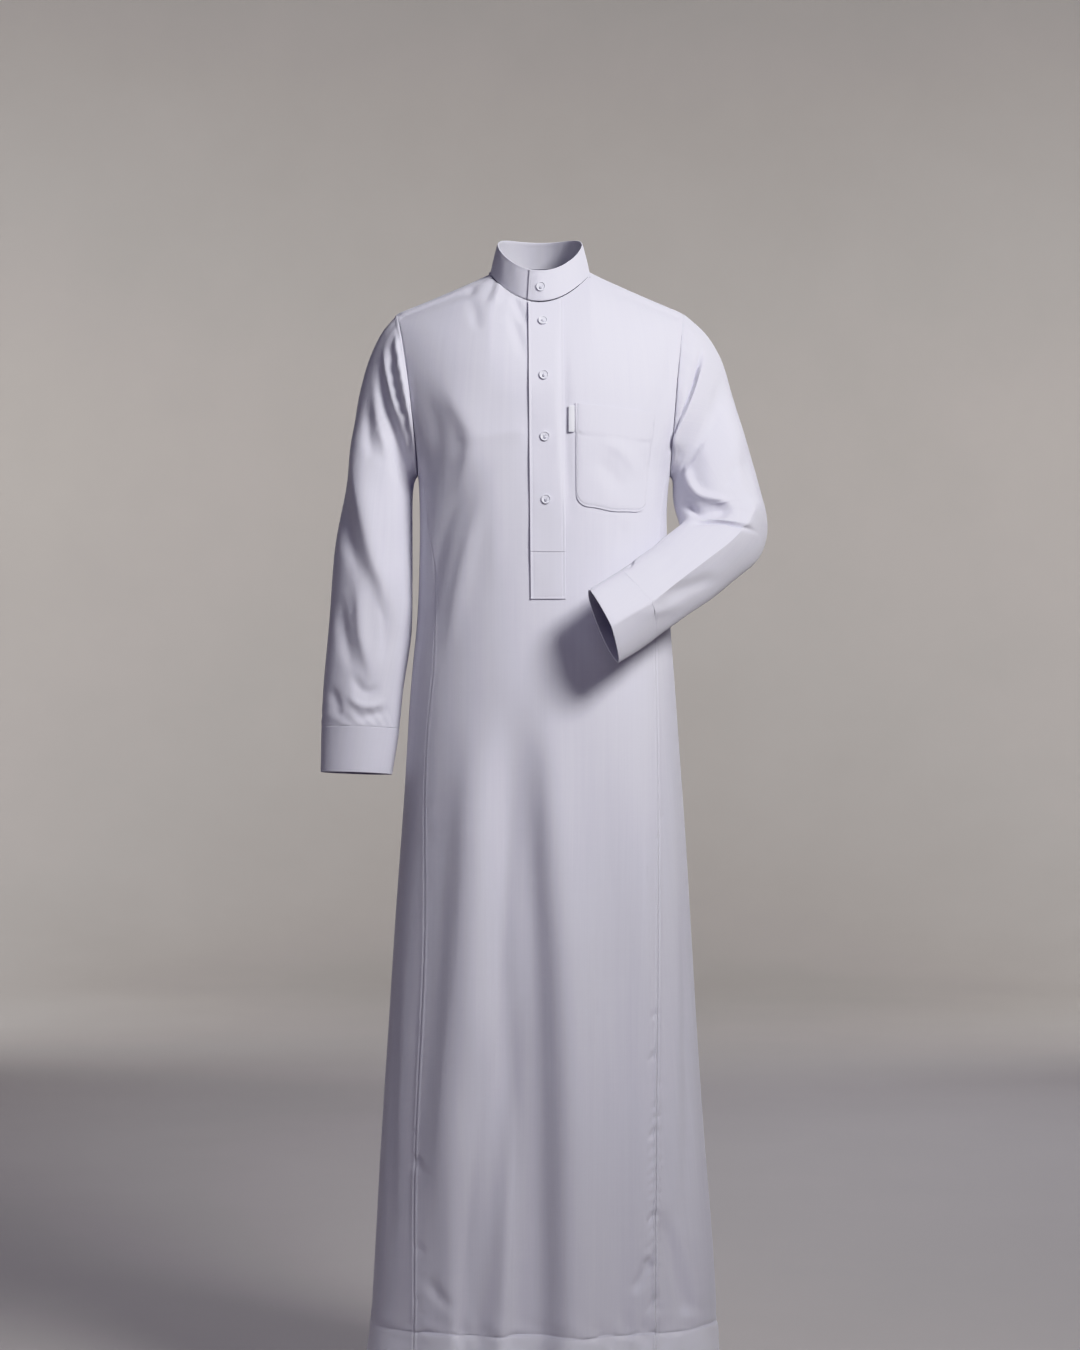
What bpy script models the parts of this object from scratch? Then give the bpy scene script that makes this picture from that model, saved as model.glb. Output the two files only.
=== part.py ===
"""A long white thobe robe, held in its worn shape, modelled as the panels that are cut and sewn.

Metres, +Z up. The wearer faces -Y and +X is on the right of someone who looks at the front.
The origin is the middle of the neck base, on the line of the shoulders, so the cloth hangs down -Z.
Each panel is a thin wall: a grid of points on its outer face, and the same grid one cloth inwards.
"""
import math
from collections import namedtuple

import bmesh
import bpy
import numpy as np
from mathutils import Vector

# ---------------------------------------------------------------- driving dimensions
CLOTH = 0.0012
BAND_CLOTH = 0.0016
SEAM_GAP = 0.0004
LAY_GAP = 0.0006
HEM_Z = -1.525
SHOULDER_HALF = 0.199
SHOULDER_SLOPE = 0.42
SHOULDER_Z = -0.0545
ARMPIT_Z = -0.280
SIDE_SEAM_TOP_Z = -0.245
FRONT_ROLL = 0.180
BACK_ROLL = 0.110
SQUARENESS = 2.3

NECK_HALF_WIDTH = 0.0695
NECK_HALF_DEPTH = 0.068
NECK_CENTRE_Y = -0.012
NAPE_RISE = 0.032
NAPE_HALF_WIDTH = 0.075
NAPE_FADE = 0.080
COLLAR_TOP_HALF_WIDTH = 0.059
COLLAR_TOP_HALF_DEPTH = 0.059
COLLAR_TOP_CENTRE_Y = -0.023
COLLAR_TOP_Z = (-0.004, 0.040, 0.050)
COLLAR_OVER_END = math.radians(-14.0)
COLLAR_UNDER_END = math.radians(370.0)

YOKE_FRONT_Y = -0.034
YOKE_BACK_DROP = 0.105
SLIT_END_Z = -0.392
PLACKET_WIDTH = 0.048
PLACKET_LEFT_TOP = -0.0165
PLACKET_LEFT_FOOT = -0.0125
PLACKET_BOX_TOP_Z = -0.3925
PLACKET_BOX_FOOT_Z = -0.4565
PLACKET_NECK_GAP = 0.003

BUTTON_RADIUS = 0.0065
BUTTON_HEIGHT = 0.0026
BUTTON_RIM = 0.0012

SLEEVE_COLUMNS = 20
CUFF_ROWS = 3

BodyRow = namedtuple("BodyRow", "z left right front back")
BODY = (
    BodyRow(-1.525, 0.238, 0.246, 0.160, 0.156),
    BodyRow(-1.428, 0.231, 0.243, 0.156, 0.152),
    BodyRow(-1.176, 0.216, 0.225, 0.150, 0.145),
    BodyRow(-0.924, 0.203, 0.211, 0.142, 0.134),
    BodyRow(-0.735, 0.190, 0.200, 0.135, 0.123),
    BodyRow(-0.567, 0.180, 0.188, 0.128, 0.113),
    BodyRow(-0.483, 0.172, 0.181, 0.125, 0.109),
    BodyRow(-0.399, 0.168, 0.177, 0.124, 0.109),
    BodyRow(-0.315, 0.168, 0.177, 0.125, 0.112),
    BodyRow(-0.280, 0.1705, 0.181, 0.125, 0.114),
    BodyRow(-0.245, 0.181, 0.191, 0.125, 0.115),
    BodyRow(-0.200, 0.194, 0.203, 0.125, 0.115),
    BodyRow(-0.150, 0.207, 0.214, 0.124, 0.114),
    BodyRow(-0.055, 0.228, 0.232, 0.120, 0.108),
    BodyRow(0.060, 0.240, 0.242, 0.118, 0.104),
)

SeamRow = namedtuple("SeamRow", "z left right back")
SIDE_SEAMS = (
    SeamRow(-1.525, 0.172, 0.157, 0.166),
    SeamRow(-1.270, 0.171, 0.158, 0.164),
    SeamRow(-0.925, 0.159, 0.162, 0.160),
    SeamRow(-0.651, 0.156, 0.162, 0.157),
    SeamRow(-0.525, 0.146, 0.160, 0.153),
    SeamRow(-0.400, 0.149, 0.160, 0.154),
    SeamRow(-0.300, 0.161, 0.171, 0.162),
    SeamRow(-0.245, 0.172, 0.1825, 0.172),
)

ArmholeRow = namedtuple("ArmholeRow", "z left right")
ARMHOLE = (
    ArmholeRow(-0.280, 0.1705, 0.181),
    ArmholeRow(-0.245, 0.172, 0.1825),
    ArmholeRow(-0.200, 0.176, 0.186),
    ArmholeRow(-0.150, 0.182, 0.190),
    ArmholeRow(-0.100, 0.190, 0.195),
    ArmholeRow(-0.050, 0.200, 0.200),
)

FoldRow = namedtuple("FoldRow", "side x_top z_top x_foot z_foot half_width rise")
FOLDS = (
    FoldRow("front", -0.013, -0.58, 0.004, -1.56, 0.024, -0.010),
    FoldRow("front", -0.024, -0.90, -0.096, -1.56, 0.022, -0.008),
    FoldRow("front", -0.062, -0.62, -0.124, -1.56, 0.030, 0.005),
    FoldRow("front", -0.038, -1.05, -0.048, -1.60, 0.016, 0.004),
    FoldRow("front", 0.046, -0.70, 0.060, -1.56, 0.034, 0.004),
    FoldRow("front", 0.116, -0.70, 0.108, -1.56, 0.030, -0.005),
    FoldRow("back", 0.022, -0.55, 0.010, -1.56, 0.026, -0.010),
    FoldRow("back", -0.070, -0.62, -0.098, -1.56, 0.026, -0.008),
    FoldRow("back", 0.092, -0.58, 0.112, -1.56, 0.026, -0.009),
    FoldRow("back", -0.030, -0.75, -0.042, -1.56, 0.028, 0.006),
    FoldRow("back", 0.058, -0.80, 0.066, -1.56, 0.024, 0.005),
)
FOLD_FADE_IN = 0.30
GORE_FOLD = 0.008
GORE_FOLD_TOP_Z = -0.60
GORE_FOLD_FADE = 0.60

StationRow = namedtuple("StationRow", "at outer_x outer_y outer_z inner_x inner_y inner_z depth crease")
HANGING_SLEEVE = (
    StationRow(0.0, 0.1990, 0.000, -0.0545, 0.1705, 0.000, -0.2800, 0.062, 2.0),
    StationRow(1.0, 0.2230, 0.002, -0.0830, 0.1730, -0.001, -0.2830, 0.066, 2.0),
    StationRow(2.0, 0.2410, 0.004, -0.1220, 0.1755, -0.002, -0.2880, 0.069, 2.0),
    StationRow(3.0, 0.2530, 0.005, -0.1700, 0.1775, -0.003, -0.2960, 0.070, 2.0),
    StationRow(4.0, 0.2610, 0.005, -0.2250, 0.1790, -0.004, -0.3120, 0.068, 2.0),
    StationRow(5.0, 0.2700, 0.004, -0.2850, 0.1795, -0.006, -0.3460, 0.064, 2.0),
    StationRow(6.0, 0.2810, 0.002, -0.3450, 0.1790, -0.008, -0.3880, 0.060, 2.0),
    StationRow(7.0, 0.2890, -0.001, -0.4050, 0.1785, -0.010, -0.4330, 0.056, 2.0),
    StationRow(8.0, 0.2950, -0.006, -0.4840, 0.1800, -0.012, -0.5000, 0.051, 2.0),
    StationRow(9.0, 0.3010, -0.012, -0.5670, 0.1905, -0.016, -0.5750, 0.044, 2.0),
    StationRow(10.0, 0.3040, -0.018, -0.6320, 0.1960, -0.020, -0.6350, 0.038, 2.0),
    StationRow(11.0, 0.3050, -0.024, -0.6950, 0.2060, -0.024, -0.6985, 0.033, 2.0),
)
HANGING_CUFF_LINE = 10.0

BENT_SLEEVE = (
    StationRow(0.0, 0.2000, 0.000, -0.0545, 0.1810, 0.000, -0.2800, 0.062, 2.0),
    StationRow(1.0, 0.2310, 0.004, -0.0820, 0.1835, -0.003, -0.2835, 0.066, 2.0),
    StationRow(2.0, 0.2520, 0.009, -0.1180, 0.1860, -0.007, -0.2880, 0.069, 2.0),
    StationRow(3.0, 0.2660, 0.015, -0.1650, 0.1880, -0.013, -0.2940, 0.069, 2.0),
    StationRow(4.0, 0.2800, 0.021, -0.2150, 0.1900, -0.021, -0.3030, 0.066, 2.0),
    StationRow(5.0, 0.2920, 0.026, -0.2630, 0.1935, -0.030, -0.3150, 0.062, 2.0),
    StationRow(6.0, 0.3020, 0.029, -0.3080, 0.1990, -0.039, -0.3270, 0.059, 1.9),
    StationRow(7.0, 0.3110, 0.026, -0.3480, 0.2040, -0.047, -0.3360, 0.057, 1.8),
    StationRow(8.0, 0.3130, 0.012, -0.3780, 0.2050, -0.053, -0.3405, 0.055, 1.7),
    StationRow(9.0, 0.3030, -0.010, -0.4010, 0.2020, -0.060, -0.3450, 0.052, 1.6),
    StationRow(10.0, 0.2780, -0.038, -0.4230, 0.1920, -0.074, -0.3540, 0.048, 1.5),
    StationRow(11.0, 0.2420, -0.072, -0.4500, 0.1700, -0.098, -0.3720, 0.043, 1.45),
    StationRow(12.0, 0.1980, -0.116, -0.4810, 0.1400, -0.132, -0.3960, 0.038, 1.45),
    StationRow(13.0, 0.1540, -0.156, -0.5120, 0.1080, -0.168, -0.4200, 0.033, 1.5),
    StationRow(14.0, 0.1050, -0.194, -0.5430, 0.0660, -0.202, -0.4460, 0.028, 1.6),
)
BENT_CUFF_LINE = 13.0

PocketCorner = namedtuple("PocketCorner", "x z")
POCKET_TOP_LEFT = PocketCorner(0.0480, -0.189)
POCKET_TOP_RIGHT = PocketCorner(0.1610, -0.200)
POCKET_FOOT_LEFT = PocketCorner(0.0490, -0.330)
POCKET_FOOT_RIGHT = PocketCorner(0.1450, -0.339)
POCKET_CORNER_RADIUS = 0.018
LABEL_WIDTH = 0.009
LABEL_TOP_Z = -0.193
LABEL_FOOT_Z = -0.229

ButtonRow = namedtuple("ButtonRow", "name x z")
PLACKET_BUTTONS = (
    ButtonRow("button_placket_1", 0.0041, -0.0767),
    ButtonRow("button_placket_2", 0.0055, -0.1526),
    ButtonRow("button_placket_3", 0.0068, -0.2361),
    ButtonRow("button_placket_4", 0.0082, -0.3218),
)
COLLAR_BUTTON_Z = -0.0270

CLOTH_WHITE = (0.86, 0.86, 0.90)
BUTTON_WHITE = (0.88, 0.88, 0.92)
LABEL_GREY = (0.55, 0.56, 0.60)


# ---------------------------------------------------------------- small tools
def ease(value):
    """A share from 0 to 1 that starts and ends gently."""
    share = np.clip(value, 0.0, 1.0)
    return share * share * (3.0 - 2.0 * share)


def read(rows, name, at):
    """The smooth value of one table column at a place along the table's first number."""
    keys = np.array([row[0] for row in rows])
    values = np.array([getattr(row, name) for row in rows])
    slopes = np.gradient(values, keys)
    place = np.clip(at, keys[0], keys[-1])
    index = np.clip(np.searchsorted(keys, place) - 1, 0, len(keys) - 2)
    span = keys[index + 1] - keys[index]
    share = (place - keys[index]) / span
    rest = 1.0 - share
    low = (1.0 + 2.0 * share) * rest * rest * values[index]
    high = share * share * (3.0 - 2.0 * share) * values[index + 1]
    bend = share * rest * (rest * slopes[index] - share * slopes[index + 1]) * span
    return low + high + bend


def by_side(rows, x, z):
    """A left or right table value at each point, by the side that the point is on."""
    return np.where(x < 0.0, read(rows, "left", z), read(rows, "right", z))


def unit(vectors):
    """Each vector at length one."""
    return vectors / np.linalg.norm(vectors, axis=-1, keepdims=True)


# ---------------------------------------------------------------- the shape of the worn cloth
def ridge_height(x, y):
    """Height of the shoulder ridge, with the rise at the nape of the neck."""
    slope = -SHOULDER_SLOPE * np.maximum(np.abs(x) - NECK_HALF_WIDTH, 0.0)
    nape = NAPE_RISE * np.exp(-(x / NAPE_HALF_WIDTH) ** 2) * ease((y + NAPE_FADE / 4.0) / NAPE_FADE)
    return slope + nape


def section_depth(x, z, side):
    """How far the body section reaches to the front or the back of the shoulder plane."""
    ratio = np.clip(np.abs(x) / by_side(BODY, x, z), 0.0, 1.0)
    return read(BODY, side, z) * (1.0 - ratio ** SQUARENESS) ** (1.0 / SQUARENESS)


def fold_rise(x, z, side):
    """How far the skirt's folds stand out of, or sink into, the plain form."""
    total = np.zeros(np.broadcast(x, z).shape)
    for fold in FOLDS:
        if fold.side != side:
            continue
        along = (fold.z_top - z) / (fold.z_top - fold.z_foot)
        centre = fold.x_top + (fold.x_foot - fold.x_top) * np.clip(along, 0.0, 1.0)
        strength = ease((fold.z_top - z) / FOLD_FADE_IN)
        total = total + fold.rise * strength * np.exp(-((x - centre) / fold.half_width) ** 2)
    return total * (1.0 - ease((np.abs(x) - 0.120) / 0.032))


def panel_y(x, z, side):
    """Y of the outer face of the front or back at a place given from the front."""
    away = 1.0 if side == "back" else -1.0
    roll = FRONT_ROLL if side == "front" else BACK_ROLL
    drop = np.clip((ridge_height(x, away * 0.1) - z) / roll, 0.0, 1.0)
    depth = section_depth(x, z, side) * np.sqrt(1.0 - (1.0 - drop) ** 2)
    return away * (depth + fold_rise(x, z, side))


def crown_z(x, y):
    """Height of the shoulder cap over a place given in plan."""
    x, y = np.broadcast_arrays(np.asarray(x, dtype=float), np.asarray(y, dtype=float))
    height = ridge_height(x, y)
    for _ in range(12):
        reach = np.where(y < 0.0, section_depth(x, height, "front"), section_depth(x, height, "back"))
        lean = np.clip(np.abs(y) / reach, 0.0, 0.999)
        roll = np.where(y < 0.0, FRONT_ROLL, BACK_ROLL)
        height = ridge_height(x, y) - roll * (1.0 - np.sqrt(1.0 - lean ** 2))
    return height


def cap_point(x, turn):
    """A point rolled over the shoulder ridge: turn 0 on the ridge, positive down the back."""
    x, turn = np.broadcast_arrays(np.asarray(x, dtype=float), np.asarray(turn, dtype=float))
    roll = np.where(turn < 0.0, FRONT_ROLL, BACK_ROLL)
    size = np.abs(turn)
    drop = roll * np.where(size < math.pi / 2.0, 1.0 - np.cos(size), 1.0 + size - math.pi / 2.0)
    lean = np.sin(np.minimum(size, math.pi / 2.0)) * np.sign(turn)
    y = lean * 0.1
    for _ in range(8):
        z = ridge_height(x, y) - drop
        reach = np.where(turn < 0.0, section_depth(x, z, "front"), section_depth(x, z, "back"))
        y = lean * reach
    return np.stack([x, y, ridge_height(x, y) - drop], axis=-1)


def cap_turn(point):
    """The turn over the shoulder ridge at which a point of the cap lies."""
    x, y, z = point[..., 0], point[..., 1], point[..., 2]
    roll = np.where(y < 0.0, FRONT_ROLL, BACK_ROLL)
    drop = np.maximum(ridge_height(x, y) - z, 0.0) / roll
    size = np.where(drop < 1.0, np.arccos(1.0 - np.minimum(drop, 1.0)), math.pi / 2.0 + drop - 1.0)
    return np.where(y < 0.0, -size, size)


def neck_point(angle):
    """A point of the neck line: angle 0 at the front, a quarter turn at +X, a half at the nape."""
    x = NECK_HALF_WIDTH * np.sin(angle)
    y = NECK_CENTRE_Y - NECK_HALF_DEPTH * np.cos(angle)
    return np.stack([x, y, crown_z(x, y)], axis=-1)


def armhole_x(z, hand):
    """Half-width of an armhole line at a height, on the side of each hand."""
    return np.where(hand < 0.0, read(ARMHOLE, "left", z), read(ARMHOLE, "right", z))


def armhole_point(angle, hand):
    """A point of an armhole: angle 0 on the shoulder, a quarter turn in front, a half at the armpit."""
    z = SHOULDER_Z - (SHOULDER_Z - ARMPIT_Z) * (1.0 - np.cos(angle)) / 2.0
    x = hand * armhole_x(z, hand)
    front = panel_y(x, z, "front")
    back = panel_y(x, z, "back")
    in_front = np.sin(angle) > 0.0
    y = np.where(in_front, front, back)
    y = np.where(np.abs(np.sin(angle)) < 1e-6, 0.0, y)
    return np.stack([x, y, z], axis=-1)


def gore_point(hand, across, z):
    """A point of a side gore: across -1 at the front seam, 0 at the side, 1 at the back seam."""
    half = read(BODY, "left" if hand < 0.0 else "right", z)
    seam_front = read(SIDE_SEAMS, "left" if hand < 0.0 else "right", z)
    seam_back = read(SIDE_SEAMS, "back", z)
    turn_front = np.arccos(np.clip(seam_front / half, 0.0, 1.0) ** (SQUARENESS / 2.0))
    turn_back = np.arccos(np.clip(seam_back / half, 0.0, 1.0) ** (SQUARENESS / 2.0))
    turn = np.where(across < 0.0, turn_front, turn_back) * across
    reach = np.where(across < 0.0, read(BODY, "front", z), read(BODY, "back", z))
    x = hand * half * np.cos(turn) ** (2.0 / SQUARENESS)
    y = reach * np.sign(turn) * np.abs(np.sin(turn)) ** (2.0 / SQUARENESS)
    fold = GORE_FOLD * ease((GORE_FOLD_TOP_Z - z) / GORE_FOLD_FADE) * np.sin(math.pi * across) * (1.0 - across ** 2)
    return np.stack([x - hand * fold, y + 0.3 * fold, z + 0.0 * x], axis=-1)


def sleeve_point(rows, hand, station, angle):
    """A point of a sleeve: angle 0 on its outer side, a quarter turn in front, a half inside."""
    def place(at):
        outer = np.stack([hand * read(rows, "outer_x", at), read(rows, "outer_y", at),
                          read(rows, "outer_z", at)], axis=-1)
        inner = np.stack([hand * read(rows, "inner_x", at), read(rows, "inner_y", at),
                          read(rows, "inner_z", at)], axis=-1)
        return outer, inner

    outer, inner = place(station)
    ahead_outer, ahead_inner = place(station + 0.1)
    behind_outer, behind_inner = place(station - 0.1)
    along = unit(ahead_outer + ahead_inner - behind_outer - behind_inner)
    centre = (outer + inner) / 2.0
    spoke = outer - centre
    facing = hand * np.cross(along, unit(spoke))
    power = np.where(np.sin(angle) > 0.0, 2.0 / read(rows, "crease", station), 1.0)
    wide = np.cos(angle)
    deep = np.sign(np.sin(angle)) * np.abs(np.sin(angle)) ** power
    reach = read(rows, "depth", station)
    return centre + spoke * wide[..., None] + facing * (reach * deep)[..., None]


def sleeve_surface(rows, hand, station, angle):
    """A sleeve point, drawn to the armhole over the first stations."""
    point = sleeve_point(rows, hand, station, angle)
    start = sleeve_point(rows, hand, np.zeros_like(station), angle)
    hole = armhole_point(angle, hand)
    share = (1.0 - ease(station / 3.0))[..., None]
    return point + (hole - start) * share


# ---------------------------------------------------------------- walls made from grids
def face_normals(points, closed):
    """Outward normals of a grid whose rows rise and whose columns run left to right, seen outside."""
    grid = np.concatenate([points[:, -3:], points, points[:, :3]], axis=1) if closed else points
    across = np.gradient(grid, axis=1, edge_order=2)
    upward = np.gradient(grid, axis=0, edge_order=2)
    normals = unit(np.cross(across, upward))
    return normals[:, 3:-3] if closed else normals


def add_object(name, mesh, colour, roughness=0.8):
    """An object of its own with a material of its own."""
    material = bpy.data.materials.new(name + "_material")
    material.use_nodes = True
    shader = material.node_tree.nodes["Principled BSDF"]
    shader.inputs["Base Color"].default_value = (*colour, 1.0)
    shader.inputs["Roughness"].default_value = roughness
    shader.inputs["Metallic"].default_value = 0.0
    mesh.materials.append(material)
    part = bpy.data.objects.new(name, mesh)
    bpy.context.scene.collection.objects.link(part)
    mesh.shade_smooth()
    mesh.set_sharp_from_angle(angle=math.radians(40.0))
    return part


def sheet_faces(rows, columns, closed, slit_column=None, slit_row=None):
    """Triangles of a grid, and the copies of the slit's points that the faces right of it use."""
    copies = {}
    count = rows * columns
    if slit_column is not None:
        for row in range(slit_row + 1, rows):
            copies[row * columns + slit_column] = count
            count += 1
    faces = []
    for row in range(rows - 1):
        for column in range(columns if closed else columns - 1):
            beside = (column + 1) % columns
            corners = [row * columns + column, row * columns + beside,
                       (row + 1) * columns + beside, (row + 1) * columns + column]
            if slit_column is not None and column >= slit_column:
                corners = [copies.get(corner, corner) for corner in corners]
            first, second, third, fourth = corners
            faces.append((first, second, third))
            faces.append((first, third, fourth))
    return faces, copies


def wall(name, outer, thickness=CLOTH, closed=False, colour=CLOTH_WHITE, rims=None, slit=None):
    """A cloth wall: the outer grid, its copy one cloth inwards, and a rim round each free edge."""
    rows, columns = outer.shape[:2]
    normals = face_normals(outer, closed)
    if rims is not None:
        normals = rims(normals)
    inner = outer - normals * thickness
    slit_column, slit_row = slit if slit else (None, None)
    skin, copies = sheet_faces(rows, columns, closed, slit_column, slit_row)
    flat_outer = [Vector(point) for point in outer.reshape(-1, 3)]
    flat_inner = [Vector(point) for point in inner.reshape(-1, 3)]
    half_slit = Vector((LAY_GAP / 2.0, 0.0, 0.0))
    for source in sorted(copies, key=copies.get):
        flat_outer.append(flat_outer[source] + half_slit)
        flat_inner.append(flat_inner[source] + half_slit)
        flat_outer[source] = flat_outer[source] - half_slit
        flat_inner[source] = flat_inner[source] - half_slit
    count = len(flat_outer)
    faces = list(skin)
    faces += [tuple(corner + count for corner in reversed(face)) for face in skin]
    used = {(face[i], face[(i + 1) % 3]) for face in skin for i in range(3)}
    for start, end in sorted(used):
        if (end, start) not in used:
            faces.append((end, start, start + count, end + count))
    mesh = bpy.data.meshes.new(name)
    mesh.from_pydata(flat_outer + flat_inner, [], faces)
    mesh.validate()
    return add_object(name, mesh, colour)


def armhole_rims(normals, columns):
    """At an armhole the rim lies in the hole's own plane, so that sleeve and panel meet evenly."""
    changed = normals.copy()
    for column in columns:
        edge = changed[:, column]
        flat = edge * np.array([0.0, 1.0, 1.0])
        share = (1.0 - ease((np.abs(edge[:, :1]) - 0.5) / 0.3))
        blended = edge * (1.0 - share) + flat * share
        changed[:, column] = unit(blended)
    return changed


# ---------------------------------------------------------------- body panels
LOWER_Z = np.concatenate([
    np.linspace(HEM_Z, -0.60, 13)[:-1],
    np.linspace(-0.60, SIDE_SEAM_TOP_Z, 9),
])
UPPER_ROWS = 9
NECK_SHARE = 0.40
YOKE_NECK_SHARE = 0.56
COLUMN_TURN = 1.1
FRONT_COLUMNS = 29
BACK_COLUMNS = 23
YOKE_ROWS = 8
GORE_COLUMNS = 9
NECK_CORNER = math.acos((NECK_CENTRE_Y - YOKE_FRONT_Y) / NECK_HALF_DEPTH)


def spread(share):
    """Column places from seam to seam, closer together where the cloth turns to the side."""
    return np.sin(COLUMN_TURN * share) / math.sin(COLUMN_TURN)


def shoulder_seam(share, hand, side):
    """A point of the seam between yoke and panel: share 0 at the neck or middle, 1 at the armhole."""
    if side == "front":
        corner = NECK_HALF_WIDTH * math.sin(NECK_CORNER)
        y = YOKE_FRONT_Y * (1.0 - 0.5 * share)
        end = armhole_x(crown_z(hand * SHOULDER_HALF, YOKE_FRONT_Y * 0.5), hand) - SEAM_GAP / 2.0
        x = hand * (corner + (end - corner) * share)
        return np.stack([x, y, crown_z(x, y)], axis=-1)
    z = -YOKE_BACK_DROP - 0.010 * share
    x = hand * (armhole_x(z, hand) - SEAM_GAP / 2.0) * share
    return np.stack([x, panel_y(x, z, "back"), z], axis=-1)


def front_top(share):
    """The upper edge of the front from armhole to armhole: shoulder seam, neck line, shoulder seam."""
    size = np.abs(share)
    hand = np.where(share < 0.0, -1.0, 1.0)
    neck = neck_point(NECK_CORNER * np.clip(share / NECK_SHARE, -1.0, 1.0))
    seam = shoulder_seam(np.clip((size - NECK_SHARE) / (1.0 - NECK_SHARE), 0.0, 1.0), hand, "front")
    return np.where((size <= NECK_SHARE)[:, None], neck, seam)


def seam_edge(z, side):
    """Half-widths of a panel at a height: the side seams, or the armholes above them."""
    names = ("left", "right") if side == "front" else ("back", "back")
    widths = []
    for name, hand_name in zip(names, ("left", "right")):
        below = read(SIDE_SEAMS, name, z)
        above = read(ARMHOLE, hand_name, z)
        widths.append(np.where(z > SIDE_SEAM_TOP_Z, above, below) - SEAM_GAP / 2.0)
    return widths


def front_grid():
    """Points of the front's outer face, hem to neck."""
    place = np.linspace(-1.0, 1.0, FRONT_COLUMNS)
    share = spread(place)
    top = front_top(place)
    rows = []
    for z in LOWER_Z:
        left, right = seam_edge(z, "front")
        x = np.where(share < 0.0, left, right) * share
        rows.append(np.stack([x, panel_y(x, z, "front"), z + 0.0 * x], axis=-1))
    for step in range(1, UPPER_ROWS + 1):
        climb = step / UPPER_ROWS
        z = SIDE_SEAM_TOP_Z + (top[:, 2] - SEAM_GAP * 0.5 - SIDE_SEAM_TOP_Z) * climb
        left, right = seam_edge(z[0], "front")
        side_x = np.where(share < 0.0, left, right)
        side_top = np.where(share < 0.0, -top[0, 0], top[-1, 0])
        x = side_x * (share * (1.0 - climb) + top[:, 0] / side_top * climb)
        rows.append(np.stack([x, panel_y(x, z, "front"), z], axis=-1))
    return np.array(rows)


def back_grid():
    """Points of the back's outer face, hem to yoke seam, left to right as seen from behind."""
    share = spread(np.linspace(1.0, -1.0, BACK_COLUMNS))
    hand = np.where(share < 0.0, -1.0, 1.0)
    top = shoulder_seam(np.abs(share), hand, "back")
    rows = []
    for z in LOWER_Z:
        left, right = seam_edge(z, "back")
        x = np.where(share < 0.0, left, right) * share
        rows.append(np.stack([x, panel_y(x, z, "back"), z + 0.0 * x], axis=-1))
    upper = UPPER_ROWS - 3
    for step in range(1, upper + 1):
        climb = step / upper
        z = SIDE_SEAM_TOP_Z + (top[:, 2] - SEAM_GAP - SIDE_SEAM_TOP_Z) * climb
        left, right = seam_edge(z[0], "back")
        x = np.where(share < 0.0, left, right) * share
        rows.append(np.stack([x, panel_y(x, z, "back"), z], axis=-1))
    return np.array(rows)


def yoke_grid():
    """Points of the yoke's outer face, from its back seam over the shoulders to neck and front seam."""
    share = np.linspace(1.0, -1.0, FRONT_COLUMNS)
    size = np.abs(share)
    hand = np.where(share < 0.0, -1.0, 1.0)
    foot = shoulder_seam(size, hand, "back")
    inside = size <= YOKE_NECK_SHARE
    turn = math.pi - (math.pi - NECK_CORNER) * np.clip(size / YOKE_NECK_SHARE, 0.0, 1.0)
    along = np.clip((size - YOKE_NECK_SHARE) / (1.0 - YOKE_NECK_SHARE), 0.0, 1.0)
    seam = shoulder_seam(along, hand, "front") + np.array([0.0, SEAM_GAP, 0.0])
    top = np.where(inside[:, None], neck_point(turn * hand), seam)
    low, high = cap_turn(foot + np.array([0.0, 0.0, SEAM_GAP])), cap_turn(top)
    rows = []
    for climb in np.linspace(0.0, 1.0, YOKE_ROWS + 1):
        x = foot[:, 0] + (top[:, 0] - foot[:, 0]) * climb
        lean = low + (high - low) * climb
        edge = x[[0, -1]]
        for _ in range(4):
            height = cap_point(edge, lean[[0, -1]])[:, 2]
            edge = np.array([1.0, -1.0]) * (armhole_x(height, np.array([1.0, -1.0])) - SEAM_GAP / 2.0)
        stretch = np.where(share > 0.0, edge[0] / x[0], edge[1] / x[-1]) - 1.0
        x = x * (1.0 + stretch * size ** 2 * (1.0 - climb ** 6 * (size < 0.99)))
        rows.append(cap_point(x, lean))
    return np.array(rows)


def gore_grid(hand):
    """Points of a side gore's outer face, hem to armpit."""
    share = np.linspace(-1.0, 1.0, GORE_COLUMNS)
    if hand < 0.0:
        share = share[::-1]
    corner = math.acos(1.0 - 2.0 * (SHOULDER_Z - SIDE_SEAM_TOP_Z) / (SHOULDER_Z - ARMPIT_Z))
    angle = math.pi + share * (math.pi - corner)
    top = armhole_point(angle, hand)
    plain_top = gore_point(hand, share, top[:, 2])
    rows = []
    for z_row in LOWER_Z:
        climb = float(ease((z_row + 0.42) / (0.42 + SIDE_SEAM_TOP_Z)))
        z = z_row + (top[:, 2] - SIDE_SEAM_TOP_Z) * climb
        point = gore_point(hand, share, z) + (top - plain_top) * climb ** 2
        rows.append(point)
    grid = np.array(rows)
    grid[:, 0] += (grid[:, 1] - grid[:, 0]) * seam_share(grid[:, 1] - grid[:, 0])
    grid[:, -1] += (grid[:, -2] - grid[:, -1]) * seam_share(grid[:, -2] - grid[:, -1])
    return grid


def seam_share(steps):
    """The share of each edge step that opens a seam gap."""
    return SEAM_GAP / np.linalg.norm(steps, axis=-1, keepdims=True)


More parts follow.
